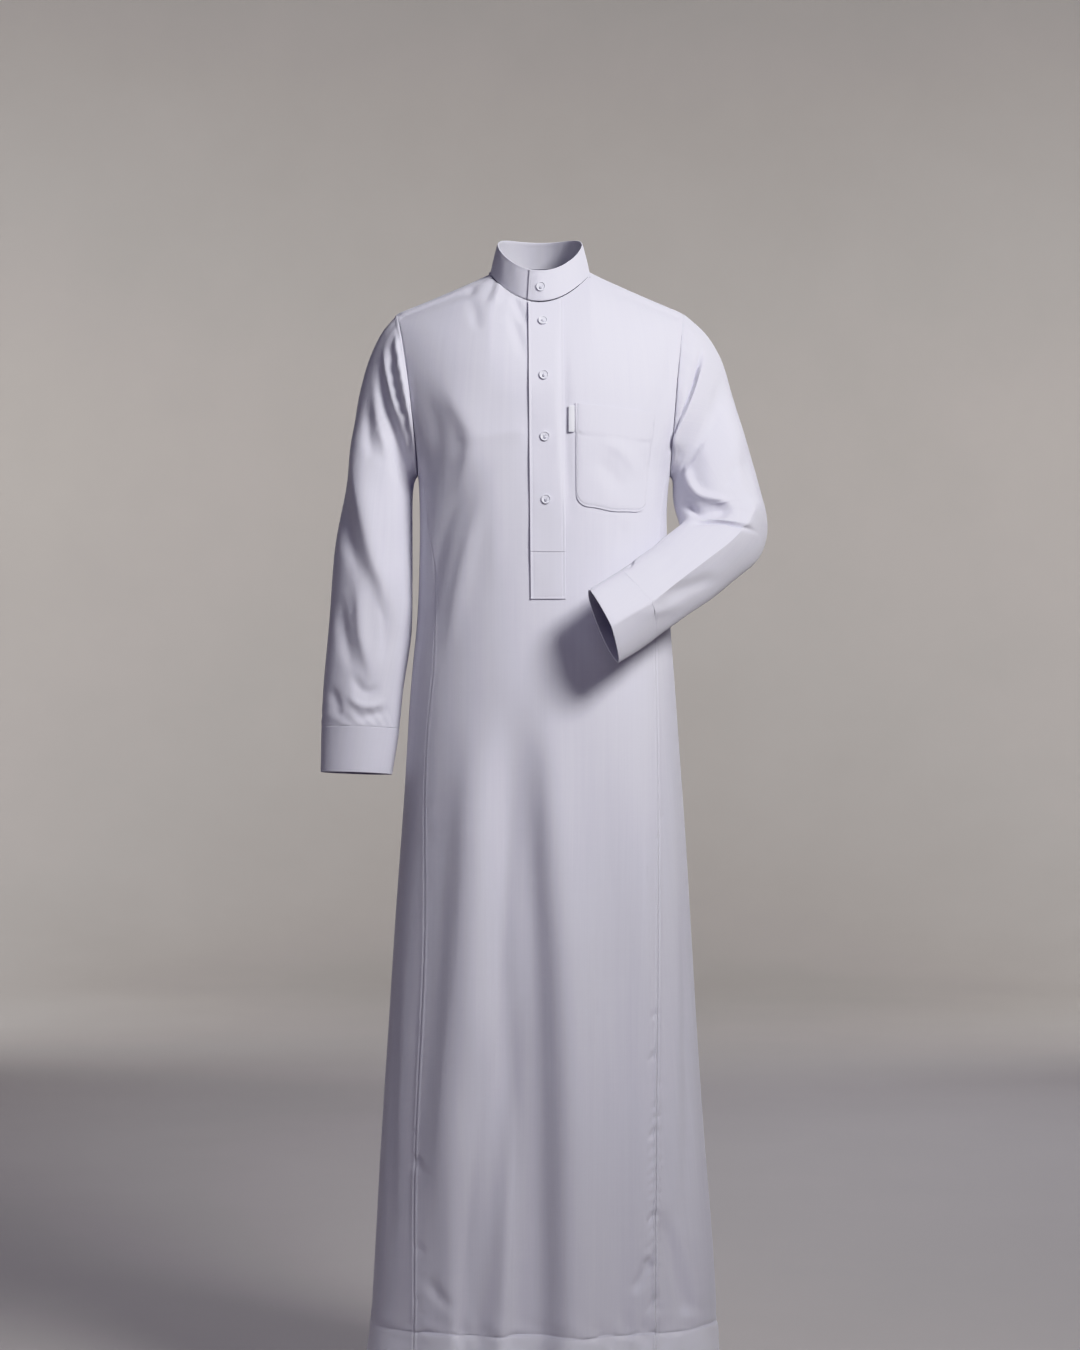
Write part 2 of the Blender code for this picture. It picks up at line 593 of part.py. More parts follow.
def build_body():
    """Front with its neck slit, back, yoke and side gores."""
    front = front_grid()
    slit_row = int(np.argmin(np.abs(front[:, FRONT_COLUMNS // 2, 2] - SLIT_END_Z)))
    wall("front", front, slit=(FRONT_COLUMNS // 2, slit_row),
         rims=lambda normals: armhole_rims(normals, (0, -1)))
    wall("back", back_grid(), rims=lambda normals: armhole_rims(normals, (0, -1)))
    wall("yoke", yoke_grid(), rims=lambda normals: armhole_rims(normals, (0, -1)))
    wall("side_gore_left", gore_grid(-1.0))
    wall("side_gore_right", gore_grid(1.0))


# ---------------------------------------------------------------- sleeves
def sleeve_rows(rows, hand, stations):
    """Rings of a sleeve's outer face, ordered so that the faces look outwards."""
    angle = np.arange(SLEEVE_COLUMNS) * 2.0 * math.pi / SLEEVE_COLUMNS
    if hand > 0.0:
        angle = -angle
    grid = np.array([sleeve_surface(rows, hand, np.full(SLEEVE_COLUMNS, at), angle) for at in stations])
    return grid


def start_rim(normals):
    """The sleeve's first ring meets the body with its rim in the armhole's plane."""
    changed = normals.copy()
    edge = changed[-1]
    share = ease((edge[:, 2:] + 0.5) / 0.3)
    changed[-1] = unit(edge * (1.0 - share) + edge * np.array([0.0, 1.0, 1.0]) * share)
    return changed


def build_sleeve(side, rows, hand, cuff_line):
    """A sleeve and its cuff band."""
    count = 20
    stations = np.linspace(0.0, cuff_line, count)[::-1]
    grid = sleeve_rows(rows, hand, stations)
    grid[-1, :, 0] += hand * SEAM_GAP
    wall("sleeve_" + side, grid, closed=True, rims=start_rim)
    length = np.linalg.norm(sleeve_rows(rows, hand, [cuff_line + 1.0]) - sleeve_rows(rows, hand, [cuff_line]),
                            axis=-1).mean()
    band_start = cuff_line + SEAM_GAP / length
    band = np.linspace(band_start, cuff_line + 1.0, CUFF_ROWS + 1)[::-1]
    wall("cuff_" + side, sleeve_rows(rows, hand, band), thickness=BAND_CLOTH, closed=True)


# ---------------------------------------------------------------- collar, placket, pocket, label
def ring_height(levels, angle):
    """Height round the neck from its values at the front, the sides and the nape."""
    front, side, nape = levels
    second = (front + nape) / 4.0 - side / 2.0
    return side + second + (front - nape) / 2.0 * np.cos(angle) + second * np.cos(2.0 * angle)


def collar_point(angle, climb):
    """A point of the collar's outer face: climb 0 at the neck line, 1 at the top edge."""
    base = neck_point(angle)
    top = np.stack([
        COLLAR_TOP_HALF_WIDTH * np.sin(angle),
        COLLAR_TOP_CENTRE_Y - COLLAR_TOP_HALF_DEPTH * np.cos(angle),
        ring_height(COLLAR_TOP_Z, angle),
    ], axis=-1)
    point = base + (top - base) * climb
    outward = unit(np.stack([np.sin(angle), -np.cos(angle), 0.0 * angle], axis=-1))
    over = (1.0 - ease((angle - math.radians(14.0)) / math.radians(30.0))) * (BAND_CLOTH + LAY_GAP)
    return point + outward * over[:, None]


def build_collar():
    """The stand collar, one strip whose +X end crosses the middle and lies over the other end."""
    angle = np.linspace(COLLAR_OVER_END, COLLAR_UNDER_END, 49)
    start = LAY_GAP / 0.041
    grid = np.array([collar_point(angle, climb) for climb in np.linspace(start, 1.0, 4)])
    wall("collar", grid, thickness=BAND_CLOTH)


def laid_on_front(x, z, lift):
    """Points over the front's outer face, moved out by the lift."""
    step = 0.002
    y = panel_y(x, z, "front")
    slope_x = (panel_y(x + step, z, "front") - panel_y(x - step, z, "front")) / (2.0 * step)
    slope_z = (panel_y(x, z + step, "front") - panel_y(x, z - step, "front")) / (2.0 * step)
    normal = unit(np.stack([slope_x, -np.ones_like(slope_x), slope_z], axis=-1))
    return np.stack([x, y, z], axis=-1) + normal * lift


def placket_side(z):
    """X of the placket's left edge at a height."""
    share = np.clip(z / PLACKET_BOX_FOOT_Z, 0.0, 1.0)
    return PLACKET_LEFT_TOP + (PLACKET_LEFT_FOOT - PLACKET_LEFT_TOP) * share


def build_placket():
    """The band that covers the slit, and the box sewn below it."""
    share = np.linspace(0.0, 1.0, 6)
    foot_x = placket_side(-0.05) + PLACKET_WIDTH * share
    neck_y = NECK_CENTRE_Y - NECK_HALF_DEPTH * np.sqrt(1.0 - (foot_x / NECK_HALF_WIDTH) ** 2)
    top_z = crown_z(foot_x, neck_y) - PLACKET_NECK_GAP
    rows = []
    for climb in np.linspace(0.0, 1.0, 20):
        z = PLACKET_BOX_TOP_Z + SEAM_GAP + (top_z - PLACKET_BOX_TOP_Z - SEAM_GAP) * climb
        x = placket_side(z) + PLACKET_WIDTH * share
        rows.append(laid_on_front(x, z, LAY_GAP + CLOTH))
    wall("placket_band", np.array(rows))
    rows = []
    for z_row in np.linspace(PLACKET_BOX_FOOT_Z, PLACKET_BOX_TOP_Z, 5):
        x = placket_side(z_row) + PLACKET_WIDTH * share
        rows.append(laid_on_front(x, z_row + 0.0 * x, LAY_GAP + CLOTH))
    wall("placket_box", np.array(rows))


def pocket_grid():
    """Points of the pocket, foot to mouth, with its lower corners rounded."""
    even = np.linspace(0.0, 1.0, 11)
    across = 0.45 * even + 0.55 * (1.0 - np.cos(math.pi * even)) / 2.0
    width = POCKET_FOOT_RIGHT.x - POCKET_FOOT_LEFT.x
    edge = np.minimum(across, 1.0 - across) * width
    inset = np.clip(1.0 - edge / POCKET_CORNER_RADIUS, 0.0, 1.0)
    corner = POCKET_CORNER_RADIUS * (1.0 - np.sqrt(1.0 - inset ** 2))
    rows = []
    for climb in np.linspace(0.0, 1.0, 9):
        foot_x = POCKET_FOOT_LEFT.x + width * across
        foot_z = POCKET_FOOT_LEFT.z + (POCKET_FOOT_RIGHT.z - POCKET_FOOT_LEFT.z) * across + corner
        top_x = POCKET_TOP_LEFT.x + (POCKET_TOP_RIGHT.x - POCKET_TOP_LEFT.x) * across
        top_z = POCKET_TOP_LEFT.z + (POCKET_TOP_RIGHT.z - POCKET_TOP_LEFT.z) * across
        x = foot_x + (top_x - foot_x) * climb
        z = foot_z + (top_z - foot_z) * climb
        rows.append(laid_on_front(x, z, LAY_GAP + CLOTH))
    return np.array(rows)


def build_pocket():
    """The breast pocket and the small tab at its edge."""
    wall("pocket", pocket_grid())
    right = POCKET_TOP_LEFT.x - 2.0 * SEAM_GAP
    x_row = np.linspace(right - LABEL_WIDTH, right, 3)
    rows = [laid_on_front(x_row, z + 0.0 * x_row, LAY_GAP + CLOTH)
            for z in np.linspace(LABEL_FOOT_Z, LABEL_TOP_Z, 4)]
    wall("label_tab", np.array(rows), colour=LABEL_GREY)


# ---------------------------------------------------------------- buttons
def build_button(name, centre, normal):
    """A turned button with a raised rim and a dished face, its back on the cloth."""
    profile = (
        (0.0, 0.0),
        (BUTTON_RADIUS * 0.92, 0.0),
        (BUTTON_RADIUS, BUTTON_HEIGHT * 0.35),
        (BUTTON_RADIUS, BUTTON_HEIGHT * 0.75),
        (BUTTON_RADIUS - BUTTON_RIM * 0.5, BUTTON_HEIGHT),
        (BUTTON_RADIUS - BUTTON_RIM * 1.5, BUTTON_HEIGHT * 0.95),
        (BUTTON_RADIUS - BUTTON_RIM * 2.2, BUTTON_HEIGHT * 0.65),
        (0.0, BUTTON_HEIGHT * 0.6),
    )
    form = bmesh.new()
    points = [form.verts.new((radius, 0.0, height)) for radius, height in profile]
    edges = [form.edges.new(pair) for pair in zip(points, points[1:])]
    bmesh.ops.spin(form, geom=points + edges, axis=(0, 0, 1), cent=(0, 0, 0), dvec=(0, 0, 0),
                   angle=math.tau, steps=16, use_merge=True)
    bmesh.ops.remove_doubles(form, verts=form.verts[:], dist=1e-6)
    bmesh.ops.recalc_face_normals(form, faces=form.faces[:])
    mesh = bpy.data.meshes.new(name)
    form.to_mesh(mesh)
    form.free()
    button = add_object(name, mesh, BUTTON_WHITE, roughness=0.35)
    button.location = Vector(centre)
    button.rotation_mode = "QUATERNION"
    button.rotation_quaternion = Vector(normal).to_track_quat("Z", "Y")
    return button


def build_buttons():
    """Four buttons on the placket and one on the collar's overlap."""
    for row in PLACKET_BUTTONS:
        x = np.array([row.x])
        z = np.array([row.z])
        low = laid_on_front(x, z, LAY_GAP + CLOTH)[0]
        high = laid_on_front(x, z, LAY_GAP + CLOTH + 0.01)[0]
        normal = unit(high - low)
        build_button(row.name, low + normal * LAY_GAP, normal)
    angle = np.array([0.02])
    base = collar_point(angle, 0.0)[0]
    top = collar_point(angle, 1.0)[0]
    rise = unit(top - base)
    normal = np.cross(np.array([1.0, 0.0, 0.0]), rise)
    climb = (COLLAR_BUTTON_Z - base[2]) / (top[2] - base[2])
    build_button("button_collar", base + (top - base) * climb + normal * LAY_GAP, normal)


def main():
    """Build every piece of the robe."""
    for old in list(bpy.data.objects):
        bpy.data.objects.remove(old)
    build_body()
    build_sleeve("hanging", HANGING_SLEEVE, -1.0, HANGING_CUFF_LINE)
    build_sleeve("bent", BENT_SLEEVE, 1.0, BENT_CUFF_LINE)
    build_collar()
    build_placket()
    build_pocket()
    build_buttons()


if __name__ == "__main__":
    main()
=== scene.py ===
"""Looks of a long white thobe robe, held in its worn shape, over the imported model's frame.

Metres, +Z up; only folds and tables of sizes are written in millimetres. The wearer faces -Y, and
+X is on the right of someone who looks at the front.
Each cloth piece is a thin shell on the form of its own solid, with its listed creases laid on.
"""
import logging
import math
from collections.abc import Iterable
from dataclasses import dataclass, field
from enum import Enum

import bmesh
import bpy
import numpy as np
from mathutils import Matrix, Vector


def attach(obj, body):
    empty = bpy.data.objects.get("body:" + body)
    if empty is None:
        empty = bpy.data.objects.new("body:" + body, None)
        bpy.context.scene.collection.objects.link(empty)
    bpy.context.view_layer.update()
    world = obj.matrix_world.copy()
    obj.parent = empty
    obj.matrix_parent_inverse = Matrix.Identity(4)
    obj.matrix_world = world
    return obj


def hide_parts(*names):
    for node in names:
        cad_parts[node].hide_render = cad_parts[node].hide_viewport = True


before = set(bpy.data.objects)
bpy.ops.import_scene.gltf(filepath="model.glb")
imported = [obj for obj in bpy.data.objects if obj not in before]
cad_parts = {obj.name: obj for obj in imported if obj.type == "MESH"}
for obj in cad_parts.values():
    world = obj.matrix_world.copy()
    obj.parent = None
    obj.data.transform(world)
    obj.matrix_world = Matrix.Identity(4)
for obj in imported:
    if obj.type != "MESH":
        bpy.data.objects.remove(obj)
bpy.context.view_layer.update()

Array = np.ndarray
Pair = tuple[float, float]
Triple = tuple[float, float, float]
Line = tuple[Array, Array]
Piece = bpy.types.Object
Socket = bpy.types.NodeSocket
log = logging.getLogger("robe")


# ---------------- small tools
def ease(value: Array | float) -> Array:
    """A share from 0 to 1 that starts and ends gently."""
    share = np.clip(value, 0.0, 1.0)
    return share * share * (3.0 - 2.0 * share)


def unit(vectors: Array) -> Array:
    """Each vector at length one."""
    return vectors / np.linalg.norm(vectors, axis=-1, keepdims=True)


def spot(x: Array, y: Array, z: Array) -> Array:
    """Points from their three coordinates."""
    return np.stack([x, y, z], axis=-1)


def along(points: Array, axis: int) -> Array:
    """Distance walked along one axis of a grid of points, from its first row or column."""
    steps = np.linalg.norm(np.diff(points, axis=axis), axis=-1)
    walked = np.cumsum(steps, axis=axis)
    return np.insert(walked, 0, 0.0, axis=axis)


def ridge_at(off: Array, at: float, width: float) -> Array:
    """A soft ridge of height one across the cloth, centred at a distance from a line."""
    return np.exp(-((off - at) / width) ** 2)


def smooth_line(corners: Array, count: int) -> Array:
    """An even walk along a Catmull-Rom curve.

    Args:
        corners: The curve's own points, one a row.
        count: How many points to give back.

    Returns:
        Points along the curve, one a row, evenly apart.
    """
    ends = np.vstack([2 * corners[0] - corners[1], corners, 2 * corners[-1] - corners[-2]])
    spans = len(corners) - 1
    place = np.linspace(0.0, spans, max(8 * spans, 2) + 1)
    index = np.minimum(place.astype(int), spans - 1)
    t = (place - index)[:, None]
    first, second, third, fourth = (ends[index + step] for step in range(4))
    curve = 0.5 * (2 * second + (third - first) * t
                   + (2 * first - 5 * second + 4 * third - fourth) * t ** 2
                   + (3 * second - first - 3 * third + fourth) * t ** 3)
    walked = along(curve, 0)
    even = np.linspace(0.0, walked[-1], count)
    return np.stack([np.interp(even, walked, curve[:, axis]) for axis in range(curve.shape[1])], axis=-1)


@dataclass(frozen=True)
class Table:
    """A short table of sizes. Its first column is the place that the others are read at."""

    names: str
    rows: tuple[tuple[float, ...], ...]

    def read(self, name: str, at: Array | float) -> Array:
        """The smooth value of one column.

        Args:
            name: The column's name.
            at: Places along the first column.

        Returns:
            The column's value at each place.
        """
        keys = np.array([row[0] for row in self.rows])
        values = np.array([row[self.names.split().index(name)] for row in self.rows])
        slopes = np.gradient(values, keys)
        place = np.clip(at, keys[0], keys[-1])
        index = np.clip(np.searchsorted(keys, place) - 1, 0, len(keys) - 2)
        span = keys[index + 1] - keys[index]
        share = (place - keys[index]) / span
        rest = 1.0 - share
        low = (1.0 + 2.0 * share) * rest * rest * values[index]
        high = share * share * (3.0 - 2.0 * share) * values[index + 1]
        bend = share * rest * (rest * slopes[index] - share * slopes[index + 1]) * span
        return low + high + bend

    def by_side(self, x: Array | float, z: Array) -> Array:
        """The left or right column at each place, by the side that the place is on."""
        return np.where(x < 0.0, self.read("left", z), self.read("right", z))


def sizes(names: str, rows: tuple[tuple[float, ...], ...]) -> Table:
    """A table whose rows are in millimetres, all but the columns at and ridge."""
    units = [1.0 if name in ("at", "ridge") else 1000.0 for name in names.split()]
    return Table(names, tuple(tuple(size / unit for size, unit in zip(row, units)) for row in rows))


class Side(Enum):
    """The two faces of the worn body."""

    FRONT = "front"
    BACK = "back"


# ---------------- the form of the worn cloth
BODY = sizes("z left right front back", (
    (-1525, 238, 246, 160, 156),
    (-1428, 231, 243, 156, 152),
    (-1176, 216, 225, 150, 145),
    (-924, 203, 211, 142, 134),
    (-735, 190, 200, 135, 123),
    (-567, 180, 188, 128, 113),
    (-483, 172, 181, 125, 109),
    (-399, 168, 177, 124, 109),
    (-315, 168, 177, 125, 112),
    (-280, 170.5, 181, 125, 114),
    (-245, 181, 191, 125, 115),
    (-200, 194, 203, 125, 115),
    (-150, 207, 214, 124, 114),
    (-55, 228, 232, 120, 108),
    (60, 240, 242, 118, 104),
))
SIDE_SEAMS = sizes("z left right back", (
    (-1525, 172, 157, 166),
    (-1270, 171, 158, 164),
    (-925, 159, 162, 160),
    (-651, 156, 162, 157),
    (-525, 146, 160, 153),
    (-400, 149, 160, 154),
    (-300, 161, 171, 162),
    (-245, 172, 182.5, 172),
))
ARMHOLE = sizes("z left right", (
    (-280, 170.5, 181),
    (-245, 172, 182.5),
    (-200, 176, 186),
    (-150, 182, 190),
    (-100, 190, 195),
    (-50, 200, 200),
))
SKIRT_FOLDS = sizes("x_top z_top x_foot z_foot half_width rise", (
    (-13, -580, 4, -1560, 24, -10),
    (-24, -900, -96, -1560, 22, -8),
    (-62, -620, -124, -1560, 30, 5),
    (-38, -1050, -48, -1600, 16, 4),
    (46, -700, 60, -1560, 34, 4),
    (116, -700, 108, -1560, 30, -5),
))
BACK_FOLDS = sizes("x_top z_top x_foot z_foot half_width rise", (
    (22, -550, 10, -1560, 26, -10),
    (-70, -620, -98, -1560, 26, -8),
    (92, -580, 112, -1560, 26, -9),
    (-30, -750, -42, -1560, 28, 6),
    (58, -800, 66, -1560, 24, 5),
))


@dataclass(frozen=True)
class WornForm:
    """The robe's body as it is worn: sections of the trunk and a cap rolled over the shoulders."""

    hem_z: float = -1.525
    shoulder_half: float = 0.199
    shoulder_slope: float = 0.42
    shoulder_z: float = -0.0545
    armpit_z: float = -0.280
    seam_top_z: float = -0.245
    front_roll: float = 0.180
    back_roll: float = 0.110
    squareness: float = 2.3
    neck_half_width: float = 0.0695
    neck_half_depth: float = 0.068
    neck_centre_y: float = -0.012
    nape_rise: float = 0.032
    nape_half_width: float = 0.075
    nape_fade: float = 0.080
    fold_fade: float = 0.30
    fold_edge: float = 0.120
    fold_edge_fade: float = 0.032
    gore_fold: float = 0.008
    gore_fold_top: float = -0.60
    gore_fold_fade: float = 0.60

    def ridge_height(self, x: Array, y: Array) -> Array:
        """Height of the shoulder ridge, with the rise at the nape of the neck."""
        slope = -self.shoulder_slope * np.maximum(np.abs(x) - self.neck_half_width, 0.0)
        rise = ease((y + self.nape_fade / 4.0) / self.nape_fade)
        return slope + self.nape_rise * np.exp(-(x / self.nape_half_width) ** 2) * rise

    def section_depth(self, x: Array, z: Array, side: Side) -> Array:
        """How far the body's section reaches to the front or the back."""
        ratio = np.clip(np.abs(x) / BODY.by_side(x, z), 0.0, 1.0)
        return BODY.read(side.value, z) * (1.0 - ratio ** self.squareness) ** (1.0 / self.squareness)

    def fold_rise(self, x: Array, z: Array, side: Side) -> Array:
        """How far the skirt's large folds stand out of, or sink into, the plain form."""
        total = np.zeros(np.broadcast(x, z).shape)
        table = SKIRT_FOLDS if side is Side.FRONT else BACK_FOLDS
        for x_top, z_top, x_foot, z_foot, half_width, rise in table.rows:
            down = (z_top - z) / (z_top - z_foot)
            centre = x_top + (x_foot - x_top) * np.clip(down, 0.0, 1.0)
            strength = ease((z_top - z) / self.fold_fade)
            total = total + rise * strength * np.exp(-((x - centre) / half_width) ** 2)
        return total * (1.0 - ease((np.abs(x) - self.fold_edge) / self.fold_edge_fade))

    def panel_y(self, x: Array, z: Array, side: Side) -> Array:
        """Y of the front's or back's outer face at a place given from the front."""
        away, roll = (-1.0, self.front_roll) if side is Side.FRONT else (1.0, self.back_roll)
        drop = np.clip((self.ridge_height(x, away * 0.1) - z) / roll, 0.0, 1.0)
        depth = self.section_depth(x, z, side) * np.sqrt(1.0 - (1.0 - drop) ** 2)
        return away * (depth + self.fold_rise(x, z, side))

    def reach(self, x: Array, z: Array, ahead: Array) -> Array:
        """Section depth towards the front where ahead is true, and towards the back elsewhere."""
        return np.where(ahead, self.section_depth(x, z, Side.FRONT), self.section_depth(x, z, Side.BACK))

    def crown_z(self, x: Array, y: Array) -> Array:
        """Height of the shoulder cap over a place given in plan."""
        x, y = np.broadcast_arrays(np.asarray(x, dtype=float), np.asarray(y, dtype=float))
        height = self.ridge_height(x, y)
        roll = np.where(y < 0.0, self.front_roll, self.back_roll)
        for _ in range(12):
            lean = np.clip(np.abs(y) / self.reach(x, height, y < 0.0), 0.0, 0.999)
            height = self.ridge_height(x, y) - roll * (1.0 - np.sqrt(1.0 - lean ** 2))
        return height

    def cap_point(self, x: Array, turn: Array) -> Array:
        """A point rolled over the shoulder ridge: turn 0 on the ridge, positive down the back."""
        x, turn = np.broadcast_arrays(np.asarray(x, dtype=float), np.asarray(turn, dtype=float))
        roll = np.where(turn < 0.0, self.front_roll, self.back_roll)
        size = np.abs(turn)
        drop = roll * np.where(size < math.pi / 2, 1.0 - np.cos(size), 1.0 + size - math.pi / 2)
        lean = np.sin(np.minimum(size, math.pi / 2)) * np.sign(turn)
        y = lean * 0.1
        for _ in range(8):
            y = lean * self.reach(x, self.ridge_height(x, y) - drop, turn < 0.0)
        return spot(x, y, self.ridge_height(x, y) - drop)

    def cap_turn(self, point: Array) -> Array:
        """The turn over the shoulder ridge at which a point of the cap lies."""
        x, y, z = point[..., 0], point[..., 1], point[..., 2]
        roll = np.where(y < 0.0, self.front_roll, self.back_roll)
        drop = np.maximum(self.ridge_height(x, y) - z, 0.0) / roll
        size = np.where(drop < 1.0, np.arccos(1.0 - np.minimum(drop, 1.0)), math.pi / 2 + drop - 1.0)
        return np.where(y < 0.0, -size, size)

    def neck_point(self, angle: Array) -> Array:
        """A point of the neck line: angle 0 in front, a quarter turn at +X, a half at the nape."""
        x = self.neck_half_width * np.sin(angle)
        y = self.neck_centre_y - self.neck_half_depth * np.cos(angle)
        return spot(x, y, self.crown_z(x, y))

    def armhole_point(self, angle: Array, hand: float) -> Array:
        """A point of an armhole: 0 on the shoulder, a quarter turn in front, a half at the armpit."""
        z = self.shoulder_z - (self.shoulder_z - self.armpit_z) * (1.0 - np.cos(angle)) / 2.0
        x = hand * ARMHOLE.by_side(hand, z)
        y = np.where(np.sin(angle) > 0.0, self.panel_y(x, z, Side.FRONT), self.panel_y(x, z, Side.BACK))
        return spot(x, np.where(np.abs(np.sin(angle)) < 1e-6, 0.0, y), z)

    def gore_point(self, hand: float, across: Array, z: Array) -> Array:
        """A point of a side gore: across -1 at the front seam, 0 at the side, 1 at the back seam."""
        column = "left" if hand < 0.0 else "right"
        half = BODY.read(column, z)
        turns = [np.arccos(np.clip(SIDE_SEAMS.read(name, z) / half, 0.0, 1.0) ** (self.squareness / 2.0))
                 for name in (column, "back")]
        turn = np.where(across < 0.0, turns[0], turns[1]) * across
        depth = np.where(across < 0.0, BODY.read("front", z), BODY.read("back", z))
        x = hand * half * np.cos(turn) ** (2.0 / self.squareness)
        y = depth * np.sign(turn) * np.abs(np.sin(turn)) ** (2.0 / self.squareness)
        swing = (self.gore_fold * ease((self.gore_fold_top - z) / self.gore_fold_fade)
                 * np.sin(math.pi * across) * (1.0 - across ** 2))
        return spot(x - hand * swing, y + 0.3 * swing, z + 0.0 * x)

    def on_front(self, x: Array, z: Array, lift: float, step: float = 0.002) -> Array:
        """Points over the front's outer face, moved out by a lift."""
        y = self.panel_y(x, z, Side.FRONT)
        slope_x = (self.panel_y(x + step, z, Side.FRONT) - self.panel_y(x - step, z, Side.FRONT)) / (2 * step)
        slope_z = (self.panel_y(x, z + step, Side.FRONT) - self.panel_y(x, z - step, Side.FRONT)) / (2 * step)
        normal = unit(spot(slope_x, -np.ones_like(slope_x), slope_z))
        return spot(x, y, z + 0.0 * x) + normal * lift


FORM = WornForm()


# ---------------- creases
@dataclass(frozen=True)
class Crease:
    """A soft trough or ridge of the cloth, on a line seen from the front.

    The line holds places (x, z) along it. A negative rise is a trough. Lean makes the +X side
    wider and the other steeper. Fades are the shares of the length in which the ends die away.
    A peak under 2 makes its top a sharper fold.
    """

    line: tuple[Pair, ...]
    half_width: float
    rise: float
    lean: float = 0.0
    fades: Pair = (0.4, 0.4)
    peak: float = 2.0
    steps: int = 28

    def height(self, x: Array, z: Array) -> Array:
        """How far the crease moves each place of the cloth outwards."""
        total = np.zeros(x.shape)
        route = smooth_line(np.array(self.line, dtype=float), self.steps)
        room = 3.5 * self.half_width * (1.0 + abs(self.lean))
        low, high = route.min(axis=0) - room, route.max(axis=0) + room
        near = (x > low[0]) & (x < high[0]) & (z > low[1]) & (z < high[1])
        if not near.any():
            return total
        places = np.stack([x[near], z[near]], axis=-1)
        best = np.full(len(places), np.inf)
        share = np.zeros(len(places))
        right = np.zeros(len(places))
        for index in range(self.steps - 1):
            step = route[index + 1] - route[index]
            off = places - route[index]
            t = np.clip(off @ step / (step @ step), 0.0, 1.0)
            gap = off - t[:, None] * step
            distance = np.hypot(gap[:, 0], gap[:, 1])
            nearer = distance < best
            best = np.where(nearer, distance, best)
            share = np.where(nearer, (index + t) / (self.steps - 1), share)
            right = np.where(nearer, np.sign(gap[:, 0]), right)
        width = self.half_width * (1.0 + self.lean * right)
        taper = ease(share / self.fades[0]) * ease((1.0 - share) / self.fades[1])
        total[near] = self.rise * taper * np.exp(-0.8 * (best / width) ** self.peak)
        return total


def fold(line: tuple[float, ...], half_width: float, rise: float, lean: float = 0.0,
         fades: Pair = (0.4, 0.4), peak: float = 2.0) -> Crease:
    """A crease in millimetres, its line as x and z in turn."""
    places = tuple((x / 1000.0, z / 1000.0) for x, z in zip(line[::2], line[1::2]))
    return Crease(places, half_width / 1000.0, rise / 1000.0, lean, fades, peak)


def creased(x: Array, z: Array, creases: Iterable[Crease]) -> Array:
    """The summed height of some creases at each place."""
    return sum((crease.height(x, z) for crease in creases), np.zeros(x.shape))


@dataclass(frozen=True)
class Unevenness:
    """The slow, shallow waves that hanging cloth always has, longer down its length."""

    size: float = 0.0009
    across: float = 0.055
    down: float = 0.190
    start: float = 0.0

    def height(self, points: Array) -> Array:
        """Wave height at each point, even where one piece of cloth meets the next."""
        around, down = points[..., 0] + 0.7 * points[..., 1], points[..., 2]
        first = around / self.across + 1.3 * np.sin(down / self.down + self.start)
        second = around / (self.across * 0.43) - 0.9 * np.sin(down / (self.down * 0.61) + 2.0 + self.start)
        third = down / (self.down * 0.37) + 0.8 * np.sin(around / (self.across * 1.7) + self.start)
        return self.size * (np.sin(first + self.start) + 0.45 * np.sin(second) + 0.5 * np.sin(third))


@dataclass(frozen=True)
class Pucker:
    """Small slanting gathers beside a sewn line, uneven along it."""

    size: float = 0.0007
    pitch: float = 0.021
    reach: float = 0.011
    slant: float = 0.8
    start: float = 0.0

    def height(self, down: Array, off: Array) -> Array:
        """Gather height at places given by the way along the seam and the distance from it."""
        wander = 1.4 * np.sin(down / 0.047 + self.start) + 0.9 * np.sin(down / 0.019 + 1.7 * self.start)
        wave = np.sin(2.0 * math.pi * (down + self.slant * off) / self.pitch + wander)
        strength = 0.35 + 0.65 * (0.5 + 0.5 * np.sin(down / 0.083 + 2.3 * self.start)) ** 2
        swell = (off / self.reach) * np.exp(1.0 - off / self.reach)
        return self.size * wave * strength * swell


# ---------------- cloth shells
class Edge(Enum):
    """An edge of a grid, seen from outside."""

    LEFT = "left"
    RIGHT = "right"
    FOOT = "foot"
    TOP = "top"


SIDES = (Edge.LEFT, Edge.RIGHT)
TUCKED = 2  # columns that a tucked edge adds


